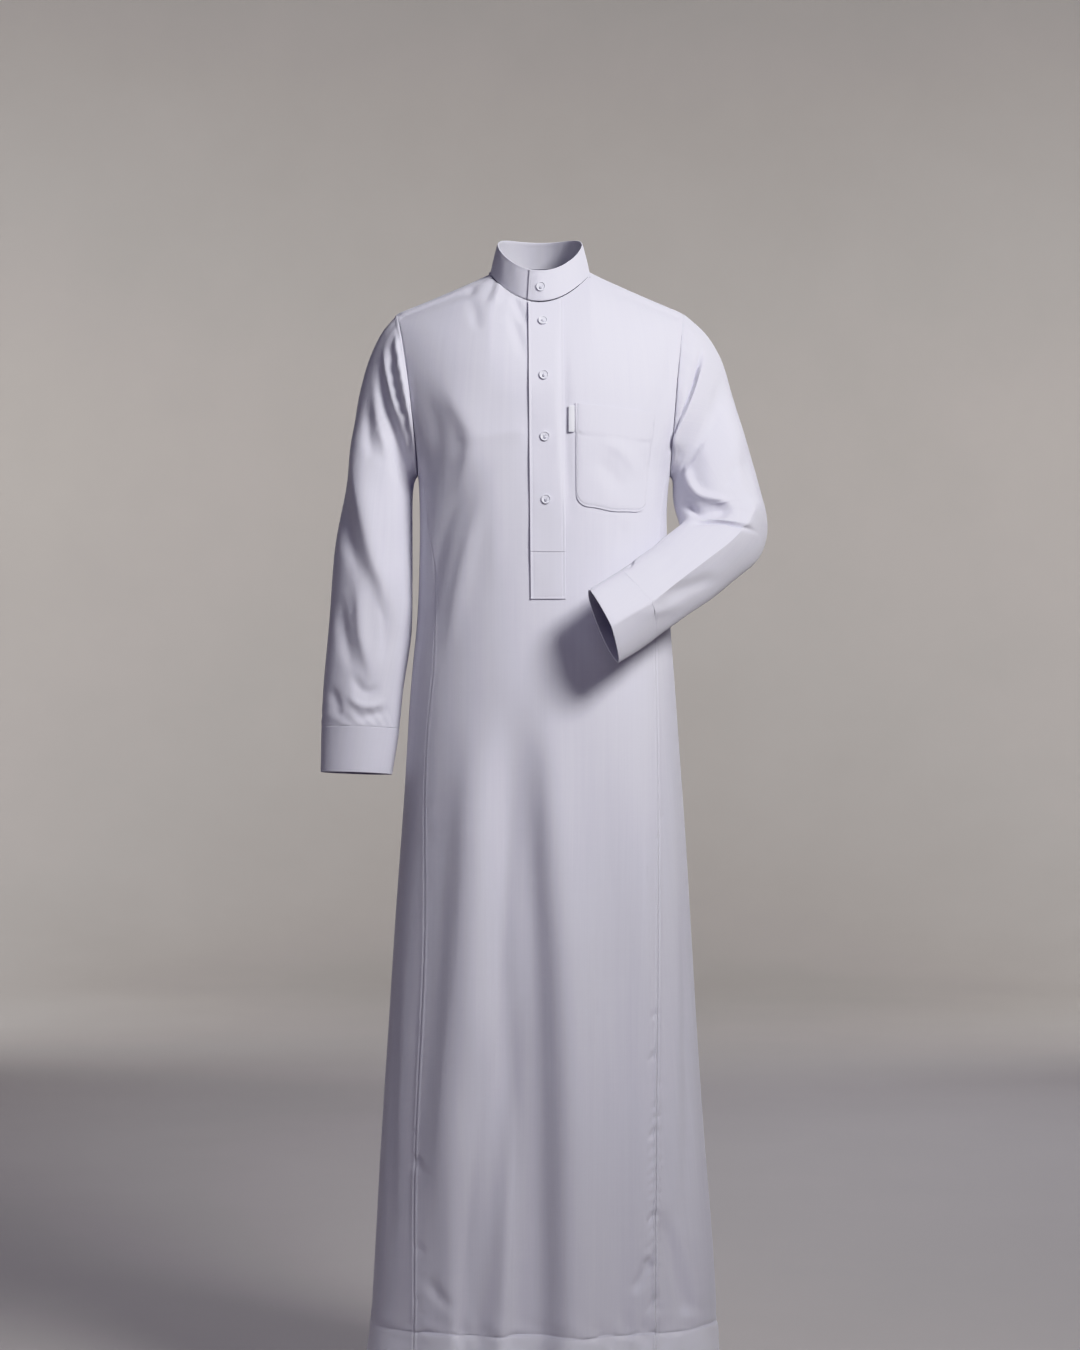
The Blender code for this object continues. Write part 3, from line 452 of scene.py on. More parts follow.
@dataclass
class Grid:
    """A cloth piece's outer face. Rows rise, and columns run left to right, seen from outside."""

    points: Array
    closed: bool = False

    def __post_init__(self) -> None:
        """Lay the flat cloth out, in metres, before anything creases it."""
        ring = self.ring()
        self.around = along(ring, 1)
        self.around = self.around - self.around[:, ring.shape[1] // 2, None]
        self.up = along(ring, 0)
        self.chart = np.stack([self.around, self.up], axis=-1)

    def ring(self) -> Array:
        """The points, with the first column once more at the end where the grid is closed."""
        return np.concatenate([self.points, self.points[:, :1]], axis=1) if self.closed else self.points

    @property
    def x(self) -> Array:
        """X of every point."""
        return self.points[..., 0]

    @property
    def z(self) -> Array:
        """Z of every point."""
        return self.points[..., 2]

    def normals(self) -> Array:
        """Outward normals of the grid's points."""
        grid = self.points
        if self.closed:
            grid = np.concatenate([grid[:, -3:], grid, grid[:, :3]], axis=1)
        across = np.gradient(grid, axis=1, edge_order=2)
        upward = np.gradient(grid, axis=0, edge_order=2)
        normals = unit(np.cross(across, upward))
        return normals[:, 3:-3] if self.closed else normals

    def lift(self, height: Array) -> None:
        """Move every point along its normal."""
        self.points = self.points + self.normals() * height[..., None]

    def from_edge(self, edge: Edge) -> Array:
        """Each point's distance along the cloth from one edge."""
        if edge in SIDES:
            walked = along(self.points, 1)
            return walked if edge is Edge.LEFT else walked[:, -1:] - walked
        walked = along(self.points, 0)
        return walked if edge is Edge.FOOT else walked[-1:] - walked

    def groove(self, edge: Edge, depth: float = 0.0008, width: float = 0.0016) -> None:
        """Roll an edge down into its seam."""
        self.lift(-depth * ridge_at(self.from_edge(edge), 0.0, width))

    def tuck(self, edge: Edge, depth: float = 0.004, bend: float = 0.25) -> None:
        """Turn a seam allowance in under an edge, rounded at a share of its depth."""
        whole = slice(None)
        pick, outward = {Edge.LEFT: ((whole, 0), (-1.0, 0.0)), Edge.RIGHT: ((whole, -1), (1.0, 0.0)),
                         Edge.FOOT: ((0,), (0.0, -1.0)), Edge.TOP: ((-1,), (0.0, 1.0))}[edge]
        rim, way = self.points[pick], self.normals()[pick]
        line, out = self.chart[pick], np.array(outward)
        axis = 1 if edge in SIDES else 0
        new = np.stack([rim - way * depth * share for share in (1.0, bend)], axis=axis)
        flat = np.stack([line + out * depth * share for share in (1.0, bend)], axis=axis)
        if edge in (Edge.LEFT, Edge.FOOT):
            self.points = np.concatenate([new, self.points], axis=axis)
            self.chart = np.concatenate([flat, self.chart], axis=axis)
        else:
            self.points = np.concatenate([self.points, np.flip(new, axis)], axis=axis)
            self.chart = np.concatenate([self.chart, np.flip(flat, axis)], axis=axis)

    def area(self) -> float:
        """Area of the grid's cloth, in square metres."""
        ring = self.ring()
        corner, across = ring[:-1, :-1], ring[1:, 1:] - ring[:-1, :-1]
        halves = [np.linalg.norm(np.cross(side - corner, across), axis=-1) / 2.0
                  for side in (ring[:-1, 1:], ring[1:, :-1])]
        return float(sum(half.sum() for half in halves))

    def faces(self) -> list[tuple[int, int, int, int]]:
        """Four-sided faces between the points."""
        rows, columns = self.points.shape[:2]
        wide = columns if self.closed else columns - 1
        return [(row * columns + column, row * columns + (column + 1) % columns,
                 (row + 1) * columns + (column + 1) % columns, (row + 1) * columns + column)
                for row in range(rows - 1) for column in range(wide)]


@dataclass(frozen=True)
class Slit:
    """A cut from a tucked grid's top edge down one of its columns."""

    column: int
    row: int
    gap: float = 0.0006


def added(name: str, data: bpy.types.ID) -> Piece:
    """A new object in the scene."""
    piece = bpy.data.objects.new(name, data)
    bpy.context.scene.collection.objects.link(piece)
    return piece


def only(piece: Piece) -> None:
    """Select one object alone and make it active."""
    bpy.ops.object.select_all(action="DESELECT")
    piece.select_set(True)
    bpy.context.view_layer.objects.active = piece


def shell(name: str, grid: Grid, thickness: float = 0.0007, slit: Slit | None = None,
          bevel: float = 0.0) -> Piece:
    """A cloth piece with its flat layout as a UV map, and a thickness laid inwards.

    Args:
        name: The piece's name.
        grid: Its outer face.
        thickness: How thick the cloth is.
        slit: A cut in it.
        bevel: How far its free edges are rounded.

    Returns:
        The piece.
    """
    rows, columns = grid.points.shape[:2]
    faces = grid.faces()
    points = grid.points.reshape(-1, 3)
    wide = columns if grid.closed else columns - 1
    corners = [(row + down, column + side) for row in range(rows - 1) for column in range(wide)
               for down, side in ((0, 0), (0, 1), (1, 1), (1, 0))]
    if slit:
        copies = {row * columns + slit.column: len(points) + count
                  for count, row in enumerate(range(slit.row + 1, rows))}
        half = np.array([slit.gap / 2.0, 0.0, 0.0])
        sources = list(copies)
        points = np.vstack([points, points[sources] + half])
        points[sources] -= half
        for index, face in enumerate(faces):
            if index % wide >= slit.column:
                faces[index] = tuple(copies.get(corner, corner) for corner in face)
    mesh = bpy.data.meshes.new(name)
    mesh.from_pydata(points.tolist(), [], faces)
    layout = mesh.uv_layers.new(name="cloth")
    at = np.array(corners)
    layout.data.foreach_set("uv", grid.chart[at[:, 0], at[:, 1]].astype(np.float32).ravel())
    piece = added(name, mesh)
    only(piece)
    solid = piece.modifiers.new("thickness", "SOLIDIFY")
    solid.thickness = thickness
    solid.offset = -1.0
    bpy.ops.object.modifier_apply(modifier=solid.name)
    if bevel:
        rounded = piece.modifiers.new("rounded edge", "BEVEL")
        rounded.width = bevel
        rounded.segments = 2
        rounded.limit_method = "ANGLE"
        rounded.angle_limit = math.radians(60.0)
        bpy.ops.object.modifier_apply(modifier=rounded.name)
    bpy.ops.object.shade_smooth_by_angle(angle=math.radians(50.0))
    return piece


# ---------------- stitches
@dataclass
class Stitches:
    """Rows of lockstitch, each stitch a short thread that dips into the cloth at both ends."""

    length: float = 0.0022
    pitch: float = 0.0028
    radius: float = 0.00023
    sides: int = 4
    stand: float = 0.00006

    def pattern(self) -> Array:
        """Corner rings of one stitch: share of length, around, and how high each ring stands."""
        shares = np.array([0.0, 0.22, 0.78, 1.0])
        sizes = np.array([0.35, 1.0, 1.0, 0.35])
        rises = np.array([-1.6, 0.3, 0.3, -1.6])
        turn = np.arange(self.sides) * 2.0 * math.pi / self.sides
        return np.array([
            spot(np.full(self.sides, share), np.cos(turn) * size, np.sin(turn) * size + rise)
            for share, size, rise in zip(shares, sizes, rises)])

    def sew(self, name: str, routes: list[Line]) -> Piece:
        """One piece that holds the stitches of several sewn lines.

        Args:
            name: The piece's name.
            routes: For each line, its points and the cloth's outward normal at each.

        Returns:
            The joined stitches.
        """
        rings = self.pattern()
        points, faces = [], []
        for line, normals in routes:
            walked = along(line, 0)
            starts = np.arange(self.pitch * 0.2, walked[-1] - self.length, self.pitch)
            for start in starts:
                ends = [np.array([np.interp(at, walked, line[:, axis]) for axis in range(3)])
                        for at in (start, start + self.length)]
                up = unit(np.array([np.interp(start, walked, normals[:, axis]) for axis in range(3)]))
                way = ends[1] - ends[0]
                side = unit(np.cross(way, up))
                base = len(points)
                for ring in rings:
                    for share, across, rise in ring:
                        points.append(ends[0] + way * share + side * across * self.radius
                                      + up * (rise * self.radius + self.stand))
                for ring in range(len(rings) - 1):
                    for corner in range(self.sides):
                        low, high = base + ring * self.sides, base + (ring + 1) * self.sides
                        beside = (corner + 1) % self.sides
                        faces.append((low + corner, low + beside, high + beside, high + corner))
                faces.append(tuple(range(base, base + self.sides))[::-1])
                last = base + (len(rings) - 1) * self.sides
                faces.append(tuple(range(last, last + self.sides)))
        mesh = bpy.data.meshes.new(name)
        mesh.from_pydata(np.array(points).tolist(), [], faces)
        piece = added(name, mesh)
        only(piece)
        bpy.ops.object.mode_set(mode="EDIT")
        bpy.ops.mesh.select_all(action="SELECT")
        bpy.ops.mesh.normals_make_consistent(inside=False)
        bpy.ops.object.mode_set(mode="OBJECT")
        bpy.ops.object.shade_smooth()
        return piece


def sewn_line(grid: Grid, edge: Edge, off: float,
              trim: Pair = (0.0, 0.0)) -> Line:
    """A line at a distance inside one edge of a grid.

    Args:
        grid: The piece's outer face, before its allowances are turned in.
        edge: The edge that the line follows.
        off: Its distance from the edge.
        trim: How much of the line is left off at its start and its end.

    Returns:
        The line's points and the cloth's outward normals there.
    """
    away = grid.from_edge(edge)
    points, normals = grid.points, grid.normals()
    if edge in (Edge.FOOT, Edge.TOP):
        away, points, normals = away.T, points.transpose(1, 0, 2), normals.transpose(1, 0, 2)
    if edge in (Edge.RIGHT, Edge.TOP):
        away, points, normals = away[:, ::-1], points[:, ::-1], normals[:, ::-1]
    line, way = [], []
    for row in range(len(points)):
        line.append([np.interp(off, away[row], points[row, :, axis]) for axis in range(3)])
        way.append([np.interp(off, away[row], normals[row, :, axis]) for axis in range(3)])
    line, way = np.array(line), unit(np.array(way))
    if grid.closed:
        line, way = np.vstack([line, line[:1]]), np.vstack([way, way[:1]])
    walked = along(line, 0)
    kept = (walked >= trim[0]) & (walked <= walked[-1] - trim[1])
    return line[kept], way[kept]


@dataclass
class Made:
    """A finished cloth piece: its outer face, its object and the lines sewn on it."""

    grid: Grid
    piece: Piece
    seams: list[Line] = field(default_factory=list)


# ---------------- body panels
BODY_CREASES: dict[Side, tuple[Crease, ...]] = {
    Side.FRONT: (
        fold((-143, -144, -120, -184, -96, -234, -101, -280, -121, -334), 18, 6.2, 0.35, (0.4, 0.4), 1.6),
        fold((-177, -142, -154, -188, -143, -237, -152, -291, -161, -345), 14, -3, -0.2),
        fold((-79, -289, -82, -328, -98, -382, -121, -492, -129, -553), 11, 4, 0.2),
        fold((-109, -285, -115, -327, -135, -374, -155, -470, -166, -532), 11, -4.6),
        fold((-112, -240, -82, -234, -48, -230, -18, -228), 10, 1.4, 0.0, (0.3, 0.1), 1.3),
        fold((-44, -53, -33, -88, -19, -133), 5.5, -2.4),
        fold((-96, -36, -90, -62, -84, -92), 6, -1.8),
        fold((-38, -38, -30, -56, -19, -80), 4.6, -3.4, 0.0, (0.15, 0.3)),
        fold((-66, -10, -70, -30, -80, -52), 6, -2.4, 0.0, (0.15, 0.5)),
        fold((-57, -14, -60, -34, -66, -56), 6, 2, 0.0, (0.15, 0.5)),
        fold((-92, -21, -97, -29, -104, -37), 4, -2.6, 0.0, (0.15, 0.5)),
        fold((-198, -64, -145, -44, -91, -24), 2.6, -2.6, 0.0, (0.05, 0.1)),
        fold((-196, -58, -143, -38, -91, -18), 2.6, 1.6, 0.0, (0.05, 0.1)),
        fold((198, -64, 149, -46, 97, -27), 2.6, -1.8, 0.0, (0.05, 0.1)),
        fold((196, -58, 147, -40, 97, -21), 2.6, 1.2, 0.0, (0.05, 0.1)),
        fold((-60, -250, -62, -340, -60, -460), 16, 1.6),
        fold((30, -53, 31, -186, 35, -281, 41, -371), 6.5, -3, 0.3, (0.3, 0.3)),
        fold((112, -345, 114, -370, 112, -400), 8, -1.6),
        fold((184, -80, 180, -130, 178, -190), 6, -3),
        fold((168, -150, 156, -235, 152, -330), 10, -2.8, -0.4),
        fold((-32, -560, -46, -803, -52, -947, -44, -1093, -36, -1271, -34, -1520), 24, -14, 0.1,
             (0.25, 0.05)),
        fold((13, -560, 19, -803, 30, -946, 38, -1092, 42, -1270, 42, -1520), 27, 11, 0.1, (0.25, 0.05)),
        fold((-86, -590, -96, -804, -110, -998, -127, -1193, -139, -1387), 28, 11.8, 0.2, (0.25, 0.3)),
        fold((-41, -1060, -45, -1191, -47, -1286, -50, -1520), 13, 4.6, 0.0, (0.3, 0.05)),
        fold((-64, -1030, -84, -1170, -97, -1286, -101, -1412, -103, -1520), 18, -10, 0.0, (0.3, 0.05)),
        fold((101, -676, 95, -866, 95, -1002, 106, -1138), 15, -3),
        fold((144, -676, 143, -867, 147, -1003, 153, -1112), 12, 2),
        fold((78, -760, 78, -1003, 82, -1230), 9, -1.4),
        fold((196, -741, 201, -1071, 196, -1411), 9, -3, 0.4),
        fold((164, -1280, 184, -1370, 204, -1444), 9.5, -7.4, 0.0, (0.3, 0.15)),
        fold((151, -1352, 139, -1378, 124, -1404), 6.2, -4.6, 0.0, (0.15, 0.4)),
        fold((182, -1290, 204, -1370, 224, -1440), 8, 3, 0.0, (0.3, 0.2)),
        fold((-156, -1372, -140, -1402, -113, -1428), 7.8, -3),
        fold((-196, -860, -203, -1150, -205, -1420), 10, -2.6, -0.4),
    ),
    Side.BACK: (
        fold((-150, -125, -128, -190, -100, -260), 13, -5.1, 0.4),
        fold((-105, -215, -98, -330, -112, -470), 16, -5.4, -0.3),
        fold((160, -135, 136, -205, 118, -280), 13, -4.5, -0.4),
        fold((112, -240, 104, -350, 120, -500), 15, -5.4, 0.3),
        fold((-30, -130, -26, -220, -34, -330), 12, -2.7),
        fold((34, -130, 40, -240, 30, -380), 14, -3),
        fold((0, -140, 4, -300, -4, -480), 18, 3.3),
        fold((-140, -300, -60, -372, 20, -380, 90, -350), 16, -4.2),
        fold((-110, -395, -40, -430, 60, -425, 140, -380), 15, 3),
        fold((46, -620, 60, -900, 58, -1200), 16, -3.9),
        fold((-124, -600, -140, -950, -150, -1380), 14, -4.5, 0.3),
        fold((138, -640, 150, -1000, 156, -1400), 13, -4.2, -0.3),
        fold((-10, -900, -16, -1250, -20, -1520), 13, 3.9, 0.0, (0.4, 0.1)),
        fold((80, -1000, 86, -1300, 90, -1520), 12, -3.9, 0.0, (0.4, 0.1)),
    ),
}
BODY_UNEVENNESS = Unevenness(size=0.0007)
SEAM_PUCKERS = {-1.0: Pucker(size=0.00022, start=0.4),
                1.0: Pucker(size=0.0008, pitch=0.017, reach=0.0045, start=1.9)}
FACING_FROM, FACING_OVER = -0.15, 0.40


def facing(grid: Grid, side: Side) -> Array:
    """How much each point of a grid belongs to the front's or the back's creases, from 0 to 1."""
    way = grid.normals()[..., 1] * (-1.0 if side is Side.FRONT else 1.0)
    return ease((way - FACING_FROM) / FACING_OVER)


@dataclass(frozen=True)
class SeamFolds:
    """Short folds that fan downwards from both sides of a side seam, larger near the hem.

    A pair holds the least size and what is added to it, except that depth_by_hand is left and right.
    """

    count: int = 15
    scatter: Triple = (12.9898, 78.233, 37.719)
    scatter_size: float = 437.58
    top_z: float = -0.62
    fall: float = 0.83
    crowding: float = 0.6
    inward: float = 0.6
    reach: Pair = (0.006, 0.011)
    reach_by_height: Pair = (0.55, 0.6)
    slope: Pair = (0.4, 2.0)
    knee_reach: float = 0.55
    knee_drop: float = 0.45
    half_width: Pair = (0.0030, 0.0022)
    depth: float = 0.0016
    depth_by_height: Pair = (0.45, 0.75)
    depth_by_hand: Pair = (0.85, 1.25)

    def creases(self, hand: float) -> tuple[Crease, ...]:
        """The folds of one side seam, scattered the same way each time."""
        name = "left" if hand < 0.0 else "right"
        found = []
        for index in range(self.count):
            share, wander, turn = (abs(math.sin((index + 3.1) * step + hand) * self.scatter_size) % 1.0
                                   for step in self.scatter)
            z = self.top_z - self.fall * share ** self.crowding
            x = hand * float(SIDE_SEAMS.read(name, np.array(z)))
            reach = ((self.reach[0] + self.reach[1] * wander)
                     * (self.reach_by_height[0] + self.reach_by_height[1] * share))
            way = -hand if turn < self.inward else hand
            drop = reach * (self.slope[0] + self.slope[1] * ((wander * 7.3) % 1.0))
            line = ((x, z), (x + way * reach * self.knee_reach, z - drop * self.knee_drop),
                    (x + way * reach, z - drop))
            rise = (-self.depth * (self.depth_by_height[0] + self.depth_by_height[1] * share)
                    * self.depth_by_hand[int(hand > 0.0)])
            width = self.half_width[0] + self.half_width[1] * wander
            found.append(Crease(line, width, rise, fades=(0.15, 0.6), steps=10))
        return tuple(found)


def spaced(low: float, high: float, count: int, fine: tuple[float, ...]) -> Array:
    """Even places from low to high, with a few closer ones at each end."""
    even = np.linspace(low, high, count)
    return np.unique(np.concatenate([even, low + np.array(fine), high - np.array(fine)]))


@dataclass
class Body:
    """The front, back, yoke and side gores, which hang from the shoulders to the hem.

    The pairs seam_full and seam_roll are for the left and the right side seam.
    """

    seam_gap: float = 0.0001
    columns: int = 98
    lower_rows: int = 300
    upper_rows: int = 48
    gore_columns: int = 46
    yoke_rows: int = 52
    edge_steps: tuple[float, ...] = (0.009, 0.022, 0.040)
    neck_share: float = 0.40
    yoke_neck_share: float = 0.56
    column_turn: float = 1.1
    yoke_front_y: float = -0.034
    yoke_back_drop: float = 0.105
    slit_end_z: float = -0.392
    turn_from: float = 0.42
    hem_stitch_z: float = -1.455
    hem_swell: float = 0.0009
    hem_gather: float = 0.0011
    hem_flare: float = 0.0030
    hem_band: float = 0.065
    hem_reach: float = 0.008
    hem_ragged: float = 0.0015
    hem_line: float = 0.0009
    hem_line_width: float = 0.0016
    roll_depth: float = 0.0004
    roll_width: float = 0.0010
    seam_stitch: float = 0.0046
    seam_full_at: float = 0.0028
    seam_full_width: float = 0.0017
    seam_full: Pair = (0.0008, 0.0017)
    seam_roll: Pair = (0.0004, 0.0002)
    seam_roll_width: float = 0.0009
    seam_calm: float = 0.3
    seam_calm_z: float = -0.80
    seam_calm_fade: float = 0.30
    yoke_full: float = 0.0006
    yoke_full_width: float = 0.0015
    yoke_stitch: float = 0.0045

    def __post_init__(self) -> None:
        """Work out the rows that the front, the back and the gores share."""
        self.corner = math.acos((FORM.neck_centre_y - self.yoke_front_y) / FORM.neck_half_depth)
        hem = FORM.hem_z + np.array([0.0008, 0.0022])
        stitch = self.hem_stitch_z + np.array([-0.0018, -0.0008, 0.0, 0.0008, 0.0018])
        even = np.linspace(FORM.hem_z, FORM.seam_top_z, self.lower_rows)
        self.lower = np.unique(np.concatenate([even, hem, stitch]))
        self.climb = spaced(0.0, 1.0, self.upper_rows, (0.004, 0.010, 0.018))[1:]

    def spread(self, share: Array) -> Array:
        """Column places from seam to seam, closer together where the cloth turns to the side."""
        return np.sin(self.column_turn * share) / math.sin(self.column_turn)

    def shoulder_seam(self, share: Array, hand: Array, side: Side) -> Array:
        """A point of the seam between yoke and panel: share 0 at the neck or middle, 1 at the armhole."""
        if side is Side.FRONT:
            corner = FORM.neck_half_width * math.sin(self.corner)
            y = self.yoke_front_y * (1.0 - 0.5 * share)
            edge_z = FORM.crown_z(hand * FORM.shoulder_half, self.yoke_front_y * 0.5)
            x = hand * (corner + (ARMHOLE.by_side(hand, edge_z) - self.seam_gap / 2 - corner) * share)
            return spot(x, y, FORM.crown_z(x, y))
        z = -self.yoke_back_drop - 0.010 * share
        x = hand * (ARMHOLE.by_side(hand, z) - self.seam_gap / 2) * share
        return spot(x, FORM.panel_y(x, z, Side.BACK), z)

    def front_top(self, share: Array) -> Array:
        """The front's upper edge from armhole to armhole: shoulder seam, neck line, shoulder seam."""
        hand = np.where(share < 0.0, -1.0, 1.0)
        neck = FORM.neck_point(self.corner * np.clip(share / self.neck_share, -1.0, 1.0))
        out = np.clip((np.abs(share) - self.neck_share) / (1.0 - self.neck_share), 0.0, 1.0)
        seam = self.shoulder_seam(out, hand, Side.FRONT)
        return np.where((np.abs(share) <= self.neck_share)[:, None], neck, seam)

    def edges(self, z: Array | float, side: Side) -> Line:
        """Half-widths of a panel at a height, at -X and +X: side seams, or armholes above them."""
        names = ("left", "right") if side is Side.FRONT else ("back", "back")
        top = np.array(FORM.seam_top_z)
        found = []
        for name, hand in zip(names, ("left", "right")):
            widen = (ARMHOLE.read(hand, top) - SIDE_SEAMS.read(name, top)) * self.climb_of(z) ** 2
            below = SIDE_SEAMS.read(name, z) + widen
            found.append(np.where(np.asarray(z) > top, ARMHOLE.read(hand, z), below) - self.seam_gap / 2)
        return found[0], found[1]

    def climb_of(self, z: Array | float) -> Array:
        """How far the side seams have turned towards the armpit: 0 at the waist, 1 at the armhole."""
        return ease((np.asarray(z) + self.turn_from) / (self.turn_from + FORM.seam_top_z))

    def panel(self, side: Side) -> Grid:
        """The front's or the back's outer face, hem to top edge."""
        place = spaced(-1.0, 1.0, self.columns, self.edge_steps)
        if side is Side.BACK:
            place = -place
        share = self.spread(place)
        if side is Side.FRONT:
            top = self.front_top(place)
        else:
            top = self.shoulder_seam(np.abs(share), np.where(share < 0.0, -1.0, 1.0), side)
        left, right = self.edges(self.lower, side)
        low_x = np.where(share[None] < 0.0, left[:, None], right[:, None]) * share
        low_z = np.broadcast_to(self.lower[:, None], low_x.shape)
        climb = self.climb[:, None]
        high_z = FORM.seam_top_z + (top[:, 2] - self.seam_gap / 2 - FORM.seam_top_z) * climb
        left, right = self.edges(high_z[:, :1], side)
        side_x = np.where(share < 0.0, left, right)
        if side is Side.FRONT:
            ends = (top[0, 0], top[-1, 0])
            side_top = np.where(share < 0.0, -ends[0], ends[1])
            high_x = side_x * (share * (1.0 - climb) + top[:, 0] / side_top * climb)
        else:
            high_x = side_x * share
        x, z = np.vstack([low_x, high_x]), np.vstack([low_z, high_z])
        return Grid(spot(x, FORM.panel_y(x, z, side), z))

    def yoke(self) -> Grid:
        """The yoke's outer face, from its back seam over the shoulders to neck and front seam."""
        share = -spaced(-1.0, 1.0, self.columns + 20, self.edge_steps)
        size, hand = np.abs(share), np.where(share < 0.0, -1.0, 1.0)
        foot = self.shoulder_seam(size, hand, Side.BACK)
        inside = size <= self.yoke_neck_share
        turn = math.pi - (math.pi - self.corner) * np.clip(size / self.yoke_neck_share, 0.0, 1.0)
        out = np.clip((size - self.yoke_neck_share) / (1.0 - self.yoke_neck_share), 0.0, 1.0)
        seam = self.shoulder_seam(out, hand, Side.FRONT) + np.array([0.0, self.seam_gap, 0.0])
        top = np.where(inside[:, None], FORM.neck_point(turn * hand), seam)
        low = FORM.cap_turn(foot + np.array([0.0, 0.0, self.seam_gap]))
        high = FORM.cap_turn(top)
        hands = np.array([1.0, -1.0])
        rows = []
        for climb in spaced(0.0, 1.0, self.yoke_rows, (0.004, 0.012, 0.024)):
            x = foot[:, 0] + (top[:, 0] - foot[:, 0]) * climb
            lean = low + (high - low) * climb
            edge = x[[0, -1]]
            for _ in range(4):
                height = FORM.cap_point(edge, lean[[0, -1]])[:, 2]
                edge = hands * (ARMHOLE.by_side(hands, height) - self.seam_gap / 2)
            stretch = np.where(share > 0.0, edge[0] / x[0], edge[1] / x[-1]) - 1.0
            x = x * (1.0 + stretch * size ** 2 * (1.0 - climb ** 6 * (size < 0.99)))
            rows.append(FORM.cap_point(x, lean))
        return Grid(np.array(rows))

    def gore(self, hand: float) -> Grid:
        """A side gore's outer face, hem to armpit."""
        share = spaced(-1.0, 1.0, self.gore_columns, (0.010, 0.026, 0.046))
        if hand < 0.0:
            share = share[::-1]
        drop = FORM.shoulder_z - FORM.armpit_z
        corner = math.acos(1.0 - 2.0 * (FORM.shoulder_z - FORM.seam_top_z) / drop)
        top = FORM.armhole_point(math.pi + share * (math.pi - corner), hand)
        plain_top = FORM.gore_point(hand, share, top[:, 2])
        climb = self.climb_of(self.lower)[:, None]
        z = self.lower[:, None] + (top[:, 2] - FORM.seam_top_z) * climb
        points = FORM.gore_point(hand, np.broadcast_to(share, z.shape), z)
        points = points + (top - plain_top) * climb[..., None] ** 2
        for across, side in ((-1.0, Side.FRONT), (1.0, Side.BACK)):
            edge_x = hand * (self.edges(self.lower, side)[int(hand > 0.0)] + self.seam_gap / 2)
            goal = spot(edge_x, FORM.panel_y(edge_x, self.lower, side), self.lower)
            move = goal - points[:, int(np.argmin(np.abs(share - across)))]
            points = points + move[:, None] * (np.clip(share * across, 0.0, 1.0) ** 3)[:, None]
        for edge, inner in ((0, 1), (-1, -2)):
            step = points[:, inner] - points[:, edge]
            points[:, edge] += step * self.seam_gap / np.linalg.norm(step, axis=-1, keepdims=True)
        return Grid(points)

    def crease(self, grid: Grid) -> None:
        """Lay the body's creases and slow waves on a piece."""
        total = BODY_UNEVENNESS.height(grid.points)
        for side, creases in BODY_CREASES.items():
            total = total + creased(grid.x, grid.z, creases) * facing(grid, side)
        folds = SeamFolds().creases(-1.0) + SeamFolds().creases(1.0)
        grid.lift(total + creased(grid.x, grid.z, folds))

    def hem(self, grid: Grid) -> None:
        """The doubled hem: a sewn line, a slightly fuller band under it and small gathers."""
        place = grid.x + 0.7 * grid.points[..., 1]
        ragged = self.hem_ragged * np.tanh(3.0 * np.sin(place / 0.0150 + 1.7 * np.sin(place / 0.043)))
        above = grid.z - self.hem_stitch_z + ragged
        line = -self.hem_line * ridge_at(above, 0.0, self.hem_line_width)
        band = self.hem_swell * ease(-above / 0.004)
        band = band + self.hem_flare * np.clip(-above / self.hem_band, 0.0, 1.0)
        gather = np.sin(place / 0.0052 + 2.0 * np.sin(place / 0.031)) * (0.6 + 0.4 * np.sin(place / 0.043))
        gather = gather + 0.6 * np.sin(place / 0.0131 + 1.4 * np.sin(place / 0.057) + above / self.hem_reach)
        off = np.abs(above) / self.hem_reach
        grid.lift(line + band + self.hem_gather * gather * off * np.exp(1.0 - off))

    def side_seam(self, grid: Grid, edge: Edge, hand: float) -> None:
        """One sewn side edge: gathers beside it, a fuller line over its allowance, the edge rolled down."""
        off, right = grid.from_edge(edge), int(hand > 0.0)
        lower = ease((self.seam_calm_z - grid.z) / self.seam_calm_fade)
        lower = self.seam_calm + (1.0 - self.seam_calm) * lower
        grid.lift(SEAM_PUCKERS[hand].height(grid.z, off) * lower)
        grid.lift(self.seam_full[right] * lower * ridge_at(off, self.seam_full_at, self.seam_full_width))
        grid.groove(edge, self.seam_roll[right], self.seam_roll_width)

    def sewn(self, grid: Grid, hands: tuple[float, ...]) -> list[Line]:
        """The lines sewn on a panel or gore: round the hem, and beside a panel's side seams."""
        row = int(np.argmin(np.abs(grid.z[:, 0] - self.hem_stitch_z)))
        seams = [(grid.points[row, 1:-1], grid.normals()[row, 1:-1])]
        if hands:
            below = grid.z[:, 0] < FORM.seam_top_z - 0.004
            for edge in SIDES:
                line, way = sewn_line(grid, edge, self.seam_stitch)
                seams.append((line[below], way[below]))
        return seams

